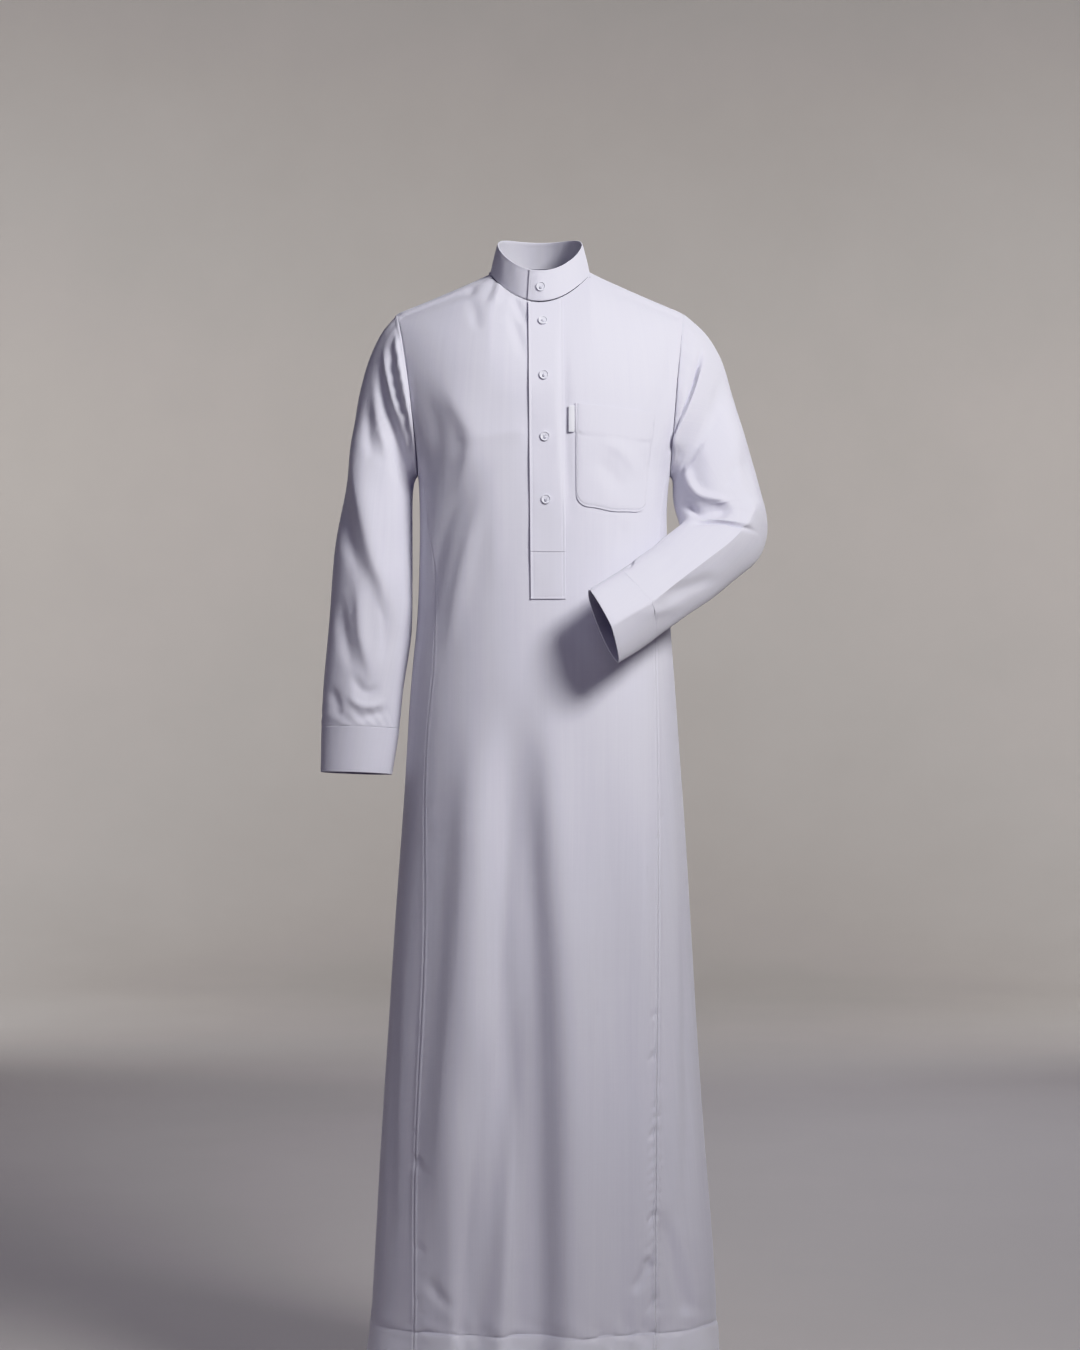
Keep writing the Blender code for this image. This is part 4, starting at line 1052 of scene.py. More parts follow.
    def build(self) -> dict[str, Made]:
        """Every body piece, by name."""
        made = {}
        for name, side in (("front", Side.FRONT), ("back", Side.BACK)):
            grid = self.panel(side)
            self.crease(grid)
            self.hem(grid)
            hands = (-1.0, 1.0) if side is Side.FRONT else (1.0, -1.0)
            self.side_seam(grid, Edge.LEFT, hands[0])
            self.side_seam(grid, Edge.RIGHT, hands[1])
            grid.groove(Edge.TOP, self.roll_depth, self.roll_width)
            slit = None
            if side is Side.FRONT:
                row = int(np.argmin(np.abs(grid.z[:, grid.z.shape[1] // 2] - self.slit_end_z)))
                slit = Slit(int(np.argmin(np.abs(grid.x[row]))) + TUCKED, row)
            seams = self.sewn(grid, hands)
            for edge in (*SIDES, Edge.TOP):
                grid.tuck(edge)
            made[name] = Made(grid, shell(name + "_cloth", grid, slit=slit), seams)
        grid = self.yoke()
        self.crease(grid)
        off = grid.from_edge(Edge.FOOT)
        grid.lift(self.yoke_full * ridge_at(off, self.seam_full_at, self.yoke_full_width))
        for edge in Edge:
            grid.groove(edge, self.roll_depth, self.roll_width)
        seams = [sewn_line(grid, Edge.FOOT, self.yoke_stitch, (0.004, 0.004))]
        line, way = sewn_line(grid, Edge.TOP, self.yoke_stitch)
        outer = np.abs(line[:, 0]) > FORM.neck_half_width * math.sin(self.corner) + 0.002
        for hand in (-1.0, 1.0):
            kept = outer & (np.sign(line[:, 0]) == hand)
            seams.append((line[kept], way[kept]))
        for edge in Edge:
            grid.tuck(edge)
        made["yoke"] = Made(grid, shell("yoke_cloth", grid), seams)
        for name, hand in (("side_gore_left", -1.0), ("side_gore_right", 1.0)):
            grid = self.gore(hand)
            self.crease(grid)
            self.hem(grid)
            for edge in SIDES:
                self.side_seam(grid, edge, hand)
            grid.groove(Edge.TOP, self.roll_depth, self.roll_width)
            seams = self.sewn(grid, ())
            for edge in (*SIDES, Edge.TOP):
                grid.tuck(edge)
            made[name] = Made(grid, shell(name + "_cloth", grid), seams)
        return made


# ---------------- sleeves
STATIONS = "at outer_x outer_y outer_z inner_x inner_y inner_z depth ridge"
HANGING_SLEEVE = sizes(STATIONS, (
    (0, 199, 0, -54.5, 170.5, 0, -280, 62, 2),
    (1, 223, 2, -83, 173, -1, -283, 66, 2),
    (2, 241, 4, -122, 175.5, -2, -288, 69, 2),
    (3, 253, 5, -170, 177.5, -3, -296, 70, 2),
    (4, 261, 5, -225, 179, -4, -312, 68, 2),
    (5, 270, 4, -285, 179.5, -6, -346, 64, 2),
    (6, 281, 2, -345, 179, -8, -388, 60, 2),
    (7, 289, -1, -405, 178.5, -10, -433, 56, 2),
    (8, 295, -6, -484, 180, -12, -500, 51, 2),
    (9, 301, -12, -567, 190.5, -16, -575, 44, 2),
    (10, 304, -18, -632, 196, -20, -635, 38, 2),
    (11, 305, -24, -695, 206, -24, -698.5, 33, 2),
))
BENT_SLEEVE = sizes(STATIONS, (
    (0, 200, 0, -54.5, 181, 0, -280, 62, 2),
    (1, 231, 4, -82, 183.5, -3, -283.5, 66, 2),
    (2, 252, 9, -118, 186, -7, -288, 69, 2),
    (3, 266, 15, -165, 188, -13, -294, 69, 2),
    (4, 280, 21, -215, 190, -21, -303, 66, 2),
    (5, 292, 26, -263, 193.5, -30, -315, 62, 2),
    (6, 302, 29, -308, 199, -39, -327, 59, 1.8),
    (7, 311, 26, -348, 204, -47, -336, 57, 1.5),
    (8, 313, 12, -378, 205, -53, -340.5, 55, 1.25),
    (9, 303, -10, -401, 202, -60, -345, 52, 1.12),
    (10, 278, -38, -423, 192, -74, -354, 48, 1.05),
    (11, 242, -72, -450, 170, -98, -372, 43, 1.03),
    (12, 198, -116, -481, 140, -132, -396, 38, 1.03),
    (13, 154, -156, -512, 108, -168, -420, 33, 1.04),
    (14, 105, -194, -543, 66, -202, -446, 28, 1.15),
))
HANGING_CREASES: dict[Side, tuple[Crease, ...]] = {
    Side.FRONT: (
        fold((-202, -77, -195, -125, -186, -170, -178, -213), 4, 3, 0.0, (0.2, 0.3)),
        fold((-208, -93, -206, -132, -198, -170, -186, -208, -176, -262), 3.8, -4.6, 0.0, (0.2, 0.3), 1.6),
        fold((-215, -96, -214, -132, -205, -176, -193, -217), 4.2, 3.4, 0.0, (0.2, 0.3)),
        fold((-223, -114, -221, -157, -209, -206, -196, -249, -189, -277, -184, -318), 6.5, -6.6, 0.2,
             (0.3, 0.3)),
        fold((-231, -141, -227, -194, -215, -249, -207, -291), 6, 3.4),
        fold((-239, -173, -239, -222, -232, -270), 7, -4),
        fold((-253, -180, -256, -235, -253, -291, -243, -346, -231, -401, -215, -449, -210, -512), 12.5,
             7.2, 0.3, (0.3, 0.3)),
        fold((-274, -271, -271, -345, -260, -391, -240, -440), 9, -5.6),
        fold((-258, -415, -251, -456, -249, -498, -240, -539, -227, -581), 9, 4.8, 0.3),
        fold((-275, -443, -275, -487, -265, -532, -254, -565), 8.5, -5),
        fold((-222, -445, -214, -500, -220, -552), 8, -3.6, 0.3),
        fold((-200, -380, -190, -450, -192, -520), 7, 2.8),
        fold((-268, -581, -254, -599, -233, -603, -210, -592), 5.2, 4),
        fold((-262, -553, -249, -578, -235, -583, -218, -572), 6, -3.2),
        fold((-262, -617, -238, -617, -204, -608), 5, -2.6),
        fold((-290, -571, -276, -622), 6.5, -3.6),
    ),
    Side.BACK: (
        fold((-196, -85, -200, -130, -190, -190, -176, -270), 5.5, -7.4, 0.0, (0.3, 0.25)),
        fold((-207, -85, -209, -130, -201, -185, -188, -250), 5.5, 4.6),
        fold((-226, -115, -222, -175, -207, -240, -190, -300), 8, -6.1, 0.3),
        fold((-240, -140, -240, -220, -228, -300), 12, 5.9),
        fold((-262, -290, -236, -330, -200, -346), 10, -6.1),
        fold((-268, -330, -240, -372, -204, -386), 9, 4.3),
        fold((-270, -372, -244, -408, -208, -422), 9, -4.9),
        fold((-262, -430, -256, -500, -232, -572), 9.5, -4.6, 0.3),
        fold((-224, -440, -218, -520, -226, -590), 11, 3.8),
        fold((-278, -560, -256, -600, -240, -620), 6, -3.8),
    ),
}
BENT_CREASES: dict[Side, tuple[Crease, ...]] = {
    Side.FRONT: (
        fold((221, -100, 222, -132, 214, -164, 201, -196, 188, -223, 179, -255), 3, -7.5, 0.0, (0.25, 0.1),
             1.5),
        fold((226, -98, 227, -133, 219, -165, 206, -197, 193, -226, 184, -257), 8, 5.5, 0.6, (0.25, 0.15),
             1.6),
        fold((210, -120, 208, -160, 198, -190), 6, -2.4),
        fold((250, -140, 244, -200, 232, -262), 11, -3, 0.3),
        fold((268, -200, 270, -250, 262, -296), 11, 3),
        fold((280, -236, 288, -290, 297, -326), 9, -2.4),
        fold((204, -262, 208, -292, 222, -311, 248, -318, 268, -324), 5.2, 6.6, 0.0, (0.25, 0.2)),
        fold((198, -318, 214, -334, 236, -334, 270, -329), 5.8, -8.5, 0.0, (0.15, 0.3)),
        fold((268, -256, 265, -284, 254, -308), 6, -2.6),
        fold((210, -346, 222, -343, 246, -342, 277, -349, 300, -357), 4.6, 3.6, 0.0, (0.2, 0.45)),
        fold((204, -354, 219, -349, 246, -348, 277, -355, 309, -366), 2.8, -7.2, 0.0, (0.2, 0.45), 1.4),
        fold((159, -461, 196, -444, 250, -424), 8, -3, 0.0, (0.35, 0.35)),
        fold((120, -479, 160, -474, 206, -458), 7, 2),
        fold((190, -398, 172, -410, 152, -420), 6, -1.4),
        fold((116, -416, 126, -404), 2.6, -6, 0.0, (0.3, 0.3)),
    ),
    Side.BACK: (
        fold((214, -100, 212, -160, 198, -230), 6.5, -6.2, -0.3),
        fold((236, -120, 234, -190, 218, -262), 10, 4.9),
        fold((256, -160, 262, -230, 256, -292), 11, -4.9),
        fold((206, -300, 240, -322, 290, -322), 9, -4.6),
        fold((214, -330, 250, -350, 300, -352), 8, 4.1),
        fold((226, -362, 256, -378, 296, -380), 8, -4.9),
        fold((258, -384, 222, -420, 180, -452), 10, -3.5),
    ),
}
BENT_LAPS: tuple[tuple[Crease, Triple], ...] = (
    (fold((227.5, -100, 228.5, -133, 220.5, -166, 207.5, -198, 194.5, -227, 185.5, -256), 7, 8.5, 0.3,
          (0.3, 0.15)), (-0.85, -0.50, 0.0)),
    (fold((210, -346, 232, -340, 262, -343, 296, -353), 6, 7.5, 0.0, (0.2, 0.5)), (0.10, -0.55, -0.80)),
)


@dataclass
class Sleeve:
    """One sleeve and its cuff band, as a tube on outer and inner lines."""

    side: str
    rows: Table
    hand: float
    cuff_line: float
    creases: dict[Side, tuple[Crease, ...]]
    laps: tuple[tuple[Crease, Triple], ...] = ()
    cuff_turn: float = 0.0
    ridge_swell: float = 0.24
    seam_gap: float = 0.0002
    around: int = 140
    lengthwise: int = 205
    cuff_rows: int = 22
    blend_stations: float = 3.0
    way_step: float = 0.1
    crease_fade: float = 0.010
    cuff_creases: float = 0.5
    top_full: float = 0.0007
    top_full_at: float = 0.0030
    top_full_width: float = 0.0016
    top_roll: float = 0.0005
    foot_roll: float = 0.0003
    roll_width: float = 0.0010
    top_stitch: float = 0.0052
    cuff_stitches: Pair = (0.0024, 0.0050)
    cuff_full: float = 0.0004
    cuff_cloth: float = 0.0014
    cuff_bevel: float = 0.0004
    unevenness: Unevenness = Unevenness(size=0.0007, across=0.030, down=0.085, start=0.7)

    def tube(self, station: Array, angle: Array) -> Array:
        """A point of the sleeve: angle 0 on its outer side, a quarter turn in front, a half inside."""
        def line(name: str, at: Array) -> Array:
            """The outer or the inner line at a station."""
            x, y, z = (self.rows.read(f"{name}_{axis}", at) for axis in "xyz")
            return spot(self.hand * x, y, z)

        outer, inner = line("outer", station), line("inner", station)
        ahead, behind = station + self.way_step, station - self.way_step
        way = unit(line("outer", ahead) + line("inner", ahead)
                   - line("outer", behind) - line("inner", behind))
        centre = (outer + inner) / 2.0
        spoke = outer - centre
        front = self.hand * np.cross(way, unit(spoke))
        if self.cuff_turn:
            turn = self.cuff_turn * ease((station - self.cuff_line + 0.9) / 1.9)[..., None]
            front = front * np.cos(turn) + way * np.sin(turn)
        ridge = np.where(np.sin(angle) > 0.0, self.rows.read("ridge", station), 2.0)
        deep = np.sign(np.sin(angle)) * (1.0 - np.abs(np.cos(angle)) ** ridge) ** (1.0 / (1.0 + ridge / 2.0))
        deep = deep * (1.0 + self.ridge_swell * (2.0 - ridge))
        depth = self.rows.read("depth", station) * deep
        return centre + spoke * np.cos(angle)[..., None] + front * depth[..., None]

    def surface(self, stations: Array) -> Array:
        """Rings of the outer face, cuff first, drawn to the armhole over the first stations."""
        turn = np.arange(self.around) * 2.0 * math.pi / self.around
        angle = turn if self.hand < 0.0 else -turn
        angle, station = np.meshgrid(angle, stations)
        point = self.tube(station, angle)
        start = self.tube(np.zeros_like(station), angle)
        hole = FORM.armhole_point(angle, self.hand)
        hole = hole + np.array([self.hand * self.seam_gap, 0.0, 0.0])
        return point + (hole - start) * (1.0 - ease(station / self.blend_stations))[..., None]

    def crease(self, grid: Grid, share: Array | float) -> None:
        """Lay the sleeve's creases and slow waves on a piece, at a share of their height."""
        total = self.unevenness.height(grid.points)
        for side, creases in self.creases.items():
            total = total + creased(grid.x, grid.z, creases) * facing(grid, side)
        grid.lift(total * share)

    def build(self) -> dict[str, Made]:
        """The sleeve and the cuff, by name."""
        stations = spaced(0.0, self.cuff_line, self.lengthwise, (0.010, 0.030, 0.060))[::-1]
        grid = Grid(self.surface(stations), closed=True)
        laps = [crease.height(grid.x, grid.z) * facing(grid, Side.FRONT) for crease, _ in self.laps]
        self.crease(grid, ease(grid.from_edge(Edge.TOP) / self.crease_fade))
        for size, (_, way) in zip(laps, self.laps):
            grid.points = grid.points + size[..., None] * np.array(way)
        off = grid.from_edge(Edge.TOP)
        gather = Pucker(size=0.0008, pitch=0.026, reach=0.010, start=self.hand)
        grid.lift(gather.height(grid.z + 0.7 * grid.points[..., 1], off))
        cuff_off = grid.from_edge(Edge.FOOT)
        pleat = Pucker(size=0.0007, pitch=0.019, reach=0.008, start=1.0 + self.hand)
        grid.lift(pleat.height(grid.x + 0.9 * grid.points[..., 1], cuff_off))
        grid.lift(self.top_full * ridge_at(off, self.top_full_at, self.top_full_width))
        grid.groove(Edge.TOP, self.top_roll, self.roll_width)
        grid.groove(Edge.FOOT, self.foot_roll, self.roll_width)
        seams = [sewn_line(grid, Edge.TOP, self.top_stitch)]
        grid.tuck(Edge.TOP)
        grid.tuck(Edge.FOOT)
        sleeve = shell("sleeve_" + self.side + "_cloth", grid)
        band = spaced(self.cuff_line + 0.003, self.cuff_line + 1.0, self.cuff_rows, (0.012, 0.030))[::-1]
        cuff = Grid(self.surface(band), closed=True)
        self.crease(cuff, self.cuff_creases)
        cuff.lift(self.cuff_full * ease(cuff.from_edge(Edge.TOP) / 0.0015))
        lines = [sewn_line(cuff, edge, off) for edge, off in zip((Edge.TOP, Edge.FOOT), self.cuff_stitches)]
        cuff.tuck(Edge.TOP)
        band = shell("cuff_" + self.side + "_cloth", cuff, self.cuff_cloth, bevel=self.cuff_bevel)
        return {"sleeve_" + self.side: Made(grid, sleeve, seams),
                "cuff_" + self.side: Made(cuff, band, lines)}


# ---------------- collar, placket, pocket, label
@dataclass
class Collar:
    """The stand collar: one strip whose +X end crosses the middle and lies over the other end."""

    cloth: float = 0.0016
    lay_gap: float = 0.0006
    top_half: float = 0.059
    top_centre_y: float = -0.023
    top_z: Triple = (-0.004, 0.040, 0.050)
    over_end: float = math.radians(-14.0)
    under_end: float = math.radians(370.0)
    columns: int = 190
    rows: int = 16
    swell: float = 0.0007
    over_fade: Pair = (math.radians(14.0), math.radians(30.0))
    foot_roll: float = 0.0002
    roll_width: float = 0.0010
    top_sink: float = 0.0004
    top_sink_at: float = 0.0032
    stitches: tuple[tuple[Edge, float], ...] = ((Edge.TOP, 0.0046), (Edge.FOOT, 0.0024), (Edge.LEFT, 0.0040))
    trim: Pair = (0.003, 0.003)
    bevel: float = 0.0006

    def ring_height(self, angle: Array) -> Array:
        """Height of the top edge round the neck, from its values in front, at the sides and behind."""
        front, side, nape = self.top_z
        second = (front + nape) / 4.0 - side / 2.0
        return side + second + (front - nape) / 2.0 * np.cos(angle) + second * np.cos(2.0 * angle)

    def point(self, angle: Array, climb: Array) -> Array:
        """A point of the outer face: climb 0 at the neck line, 1 at the top edge."""
        base = FORM.neck_point(angle)
        top = spot(self.top_half * np.sin(angle), self.top_centre_y - self.top_half * np.cos(angle),
                        self.ring_height(angle))
        outward = unit(spot(np.sin(angle), -np.cos(angle), 0.0 * angle))
        over = 1.0 - ease((angle - self.over_fade[0]) / self.over_fade[1])
        proud = outward * (over * (self.cloth + self.lay_gap))[..., None]
        return base + (top - base) * climb[..., None] + proud

    def build(self) -> Made:
        """The collar's strip, a little fuller between its sewn edges."""
        angle = spaced(self.over_end, self.under_end, self.columns, (0.010, 0.030))
        climb = spaced(0.005, 1.0, self.rows, (0.02, 0.05))
        angle, climb = np.meshgrid(angle, climb)
        grid = Grid(self.point(angle, climb))
        wave = 0.5 * np.sin(angle * 7.0 + 1.0) + 0.5 * np.sin(angle * 13.0 + 2.5 * climb)
        grid.lift(self.swell * np.sin(math.pi * climb) ** 0.7 * (1.0 + 0.5 * wave))
        grid.groove(Edge.FOOT, self.foot_roll, self.roll_width)
        grid.lift(-self.top_sink * ridge_at(grid.from_edge(Edge.TOP), self.top_sink_at, self.roll_width))
        seams = [sewn_line(grid, edge, off, self.trim) for edge, off in self.stitches]
        return Made(grid, shell("collar_cloth", grid, self.cloth, bevel=self.bevel), seams)


@dataclass
class Placket:
    """The band that covers the neck slit, and the box sewn below it."""

    width: float = 0.048
    left_top: float = -0.0165
    left_foot: float = -0.0125
    box_top_z: float = -0.3925
    box_foot_z: float = -0.4565
    neck_gap: float = 0.003
    seam_gap: float = 0.0004
    cloth: float = 0.0012
    lay_gap: float = 0.0006
    columns: int = 18
    rows: int = 130
    box_rows: int = 28
    step: float = 0.0005
    curl: float = 0.0011
    sink: float = 0.0009
    stitch: float = 0.0036
    stitch_sink: float = 0.0004
    stitch_width: float = 0.0011
    trim: float = 0.002
    bevel: float = 0.0004

    def left(self, z: Array) -> Array:
        """X of the left edge at a height."""
        share = np.clip(z / self.box_foot_z, 0.0, 1.0)
        return self.left_top + (self.left_foot - self.left_top) * share

    def dress(self, grid: Grid) -> None:
        """Follow the cloth below, with a sunk stitch line inside each long edge."""
        total = BODY_UNEVENNESS.height(grid.points) + creased(grid.x, grid.z, BODY_CREASES[Side.FRONT])
        for edge in SIDES:
            total = total - self.stitch_sink * ridge_at(grid.from_edge(edge), self.stitch, self.stitch_width)
        left, right = grid.from_edge(Edge.LEFT), grid.from_edge(Edge.RIGHT)
        total = total + 0.0005 * np.sin(grid.z / 0.017 + 3.0 * grid.x / self.width) * np.exp(-left / 0.02)
        total = total + self.curl * np.exp(-left / 0.0045) - self.sink * np.exp(-right / 0.0050)
        grid.lift(total + self.step)

    def strip(self, share: Array, z: Array) -> Grid:
        """A dressed piece of the placket over given rows."""
        grid = Grid(FORM.on_front(self.left(z) + self.width * share, z, self.lay_gap + self.cloth))
        self.dress(grid)
        return grid

    def made(self, name: str, grid: Grid, edges: Iterable[Edge], trim: float) -> Made:
        """A strip's shell, sewn along some of its edges."""
        seams = [sewn_line(grid, edge, self.stitch, (trim, trim)) for edge in edges]
        return Made(grid, shell(name + "_cloth", grid, self.cloth, bevel=self.bevel), seams)

    def build(self) -> dict[str, Made]:
        """Band and box, by name."""
        share = spaced(0.0, 1.0, self.columns, (0.012, 0.034, 0.060, 0.085, 0.11))
        top_x = self.left(np.array(-0.05)) + self.width * share
        out = top_x / FORM.neck_half_width
        neck_y = FORM.neck_centre_y - FORM.neck_half_depth * np.sqrt(1.0 - out ** 2)
        top_z = FORM.crown_z(top_x, neck_y) - self.neck_gap
        foot_z = self.box_top_z + self.seam_gap
        climb = spaced(0.0, 1.0, self.rows, (0.0016, 0.005))[:, None]
        band = self.strip(share, foot_z + (top_z - foot_z) * climb)
        rows = spaced(self.box_foot_z, self.box_top_z, self.box_rows, (0.0006, 0.0018, 0.0030))
        box = self.strip(share, rows[:, None] + 0.0 * share)
        box.lift(-self.stitch_sink * ridge_at(box.from_edge(Edge.FOOT), self.stitch, self.stitch_width))
        return {"placket_band": self.made("placket_band", band, SIDES, self.trim),
                "placket_box": self.made("placket_box", box, Edge, self.stitch)}


@dataclass
class Pocket:
    """The breast pocket with its sewn mouth band, and the bare tab at its edge."""

    top_left: Pair = (0.0480, -0.189)
    top_right: Pair = (0.1610, -0.200)
    foot_left: Pair = (0.0490, -0.330)
    foot_right: Pair = (0.1450, -0.339)
    corner_radius: float = 0.018
    mouth: float = 0.042
    lift: float = 0.0018
    columns: int = 40
    rows: int = 46
    tab_width: float = 0.0084
    tab_top: float = -0.193
    tab_foot: float = -0.229
    tab_gap: float = 0.0008
    tab_sink: float = 0.0006
    tab_columns: int = 8
    tab_rows: int = 16
    tab_cloth: float = 0.0008
    tab_bevel: float = 0.0002
    cloth: float = 0.0012
    bevel: float = 0.0004
    belly: float = 0.0012
    side_sinks: tuple[tuple[Edge, float], ...] = ((Edge.LEFT, 0.0008), (Edge.RIGHT, 0.0005))
    side_sink_width: float = 0.007
    mouth_sink: float = 0.0007
    mouth_width: float = 0.0012
    mouth_full: float = 0.0005
    mouth_stitch: float = 0.0022
    stitch: float = 0.0024
    stitch_sink: float = 0.0005
    stitch_width: float = 0.0010
    trim: Pair = (0.003, 0.003)
    folds: tuple[Crease, ...] = (
        fold((78, -236, 116, -258, 138, -300), 9, 2.2),
        fold((70, -262, 100, -290, 120, -325), 10, -1.6),
    )

    def build(self) -> dict[str, Made]:
        """Pocket and tab, by name."""
        even = spaced(0.0, 1.0, self.columns, (0.03, 0.06, 0.09))
        across = 0.45 * even + 0.55 * (1.0 - np.cos(math.pi * even)) / 2.0
        width = self.foot_right[0] - self.foot_left[0]
        inset = np.clip(1.0 - np.minimum(across, 1.0 - across) * width / self.corner_radius, 0.0, 1.0)
        corner = self.corner_radius * (1.0 - np.sqrt(1.0 - inset ** 2))
        climb = spaced(0.0, 1.0, self.rows, (0.006, 0.014, 0.022))[:, None]
        foot_x = self.foot_left[0] + width * across
        foot_z = self.foot_left[1] + (self.foot_right[1] - self.foot_left[1]) * across + corner
        foot_z = foot_z + 0.0016 * np.sin(across * 9.0) * np.sin(math.pi * across)
        top_x = self.top_left[0] + (self.top_right[0] - self.top_left[0]) * across
        top_z = self.top_left[1] + (self.top_right[1] - self.top_left[1]) * across
        x, z = foot_x + (top_x - foot_x) * climb, foot_z + (top_z - foot_z) * climb
        grid = Grid(FORM.on_front(x, z, self.lift))
        total = BODY_UNEVENNESS.height(grid.points) + creased(grid.x, grid.z, BODY_CREASES[Side.FRONT])
        for crease in self.folds:
            total = total + crease.height(grid.x, grid.z)
        grid.lift(total + self.belly * np.sin(math.pi * climb) ** 0.6 * np.sin(math.pi * across) ** 0.6)
        for edge, depth in self.side_sinks:
            grid.groove(edge, depth, self.side_sink_width)
        band = grid.from_edge(Edge.TOP) - self.mouth
        sunk = -self.mouth_sink * ridge_at(band, 0.0, self.mouth_width)
        grid.lift(sunk + self.mouth_full * ease(-band / 0.003))
        sewn_edges = (*SIDES, Edge.FOOT)
        for edge in sewn_edges:
            grid.lift(-self.stitch_sink * ridge_at(grid.from_edge(edge), self.stitch, self.stitch_width))
        rows = np.argmin(np.abs(grid.from_edge(Edge.TOP) - self.mouth + self.mouth_stitch), axis=0)
        columns = np.arange(grid.points.shape[1])
        mouth = (grid.points[rows, columns][2:-2], grid.normals()[rows, columns][2:-2])
        seams = [mouth] + [sewn_line(grid, edge, self.stitch, self.trim) for edge in sewn_edges]
        return {"pocket": Made(grid, shell("pocket_cloth", grid, self.cloth, bevel=self.bevel), seams),
                "label_tab": self.tab()}

    def tab(self) -> Made:
        """The bare ribbon tab, which lies beside the pocket's mouth."""
        right = self.top_left[0] - self.tab_gap
        x = np.linspace(right - self.tab_width, right, self.tab_columns)
        z = np.linspace(self.tab_foot, self.tab_top, self.tab_rows)[:, None] + 0.0 * x
        tab = Grid(FORM.on_front(x + 0.0 * z, z, self.lift - self.tab_sink))
        across = np.linspace(0.0, 1.0, self.tab_columns)
        tab.lift(0.0004 * np.sin(math.pi * across) + 0.0002 * np.sin(z / 0.006))
        return Made(tab, shell("label_tab_ribbon", tab, self.tab_cloth, bevel=self.tab_bevel))


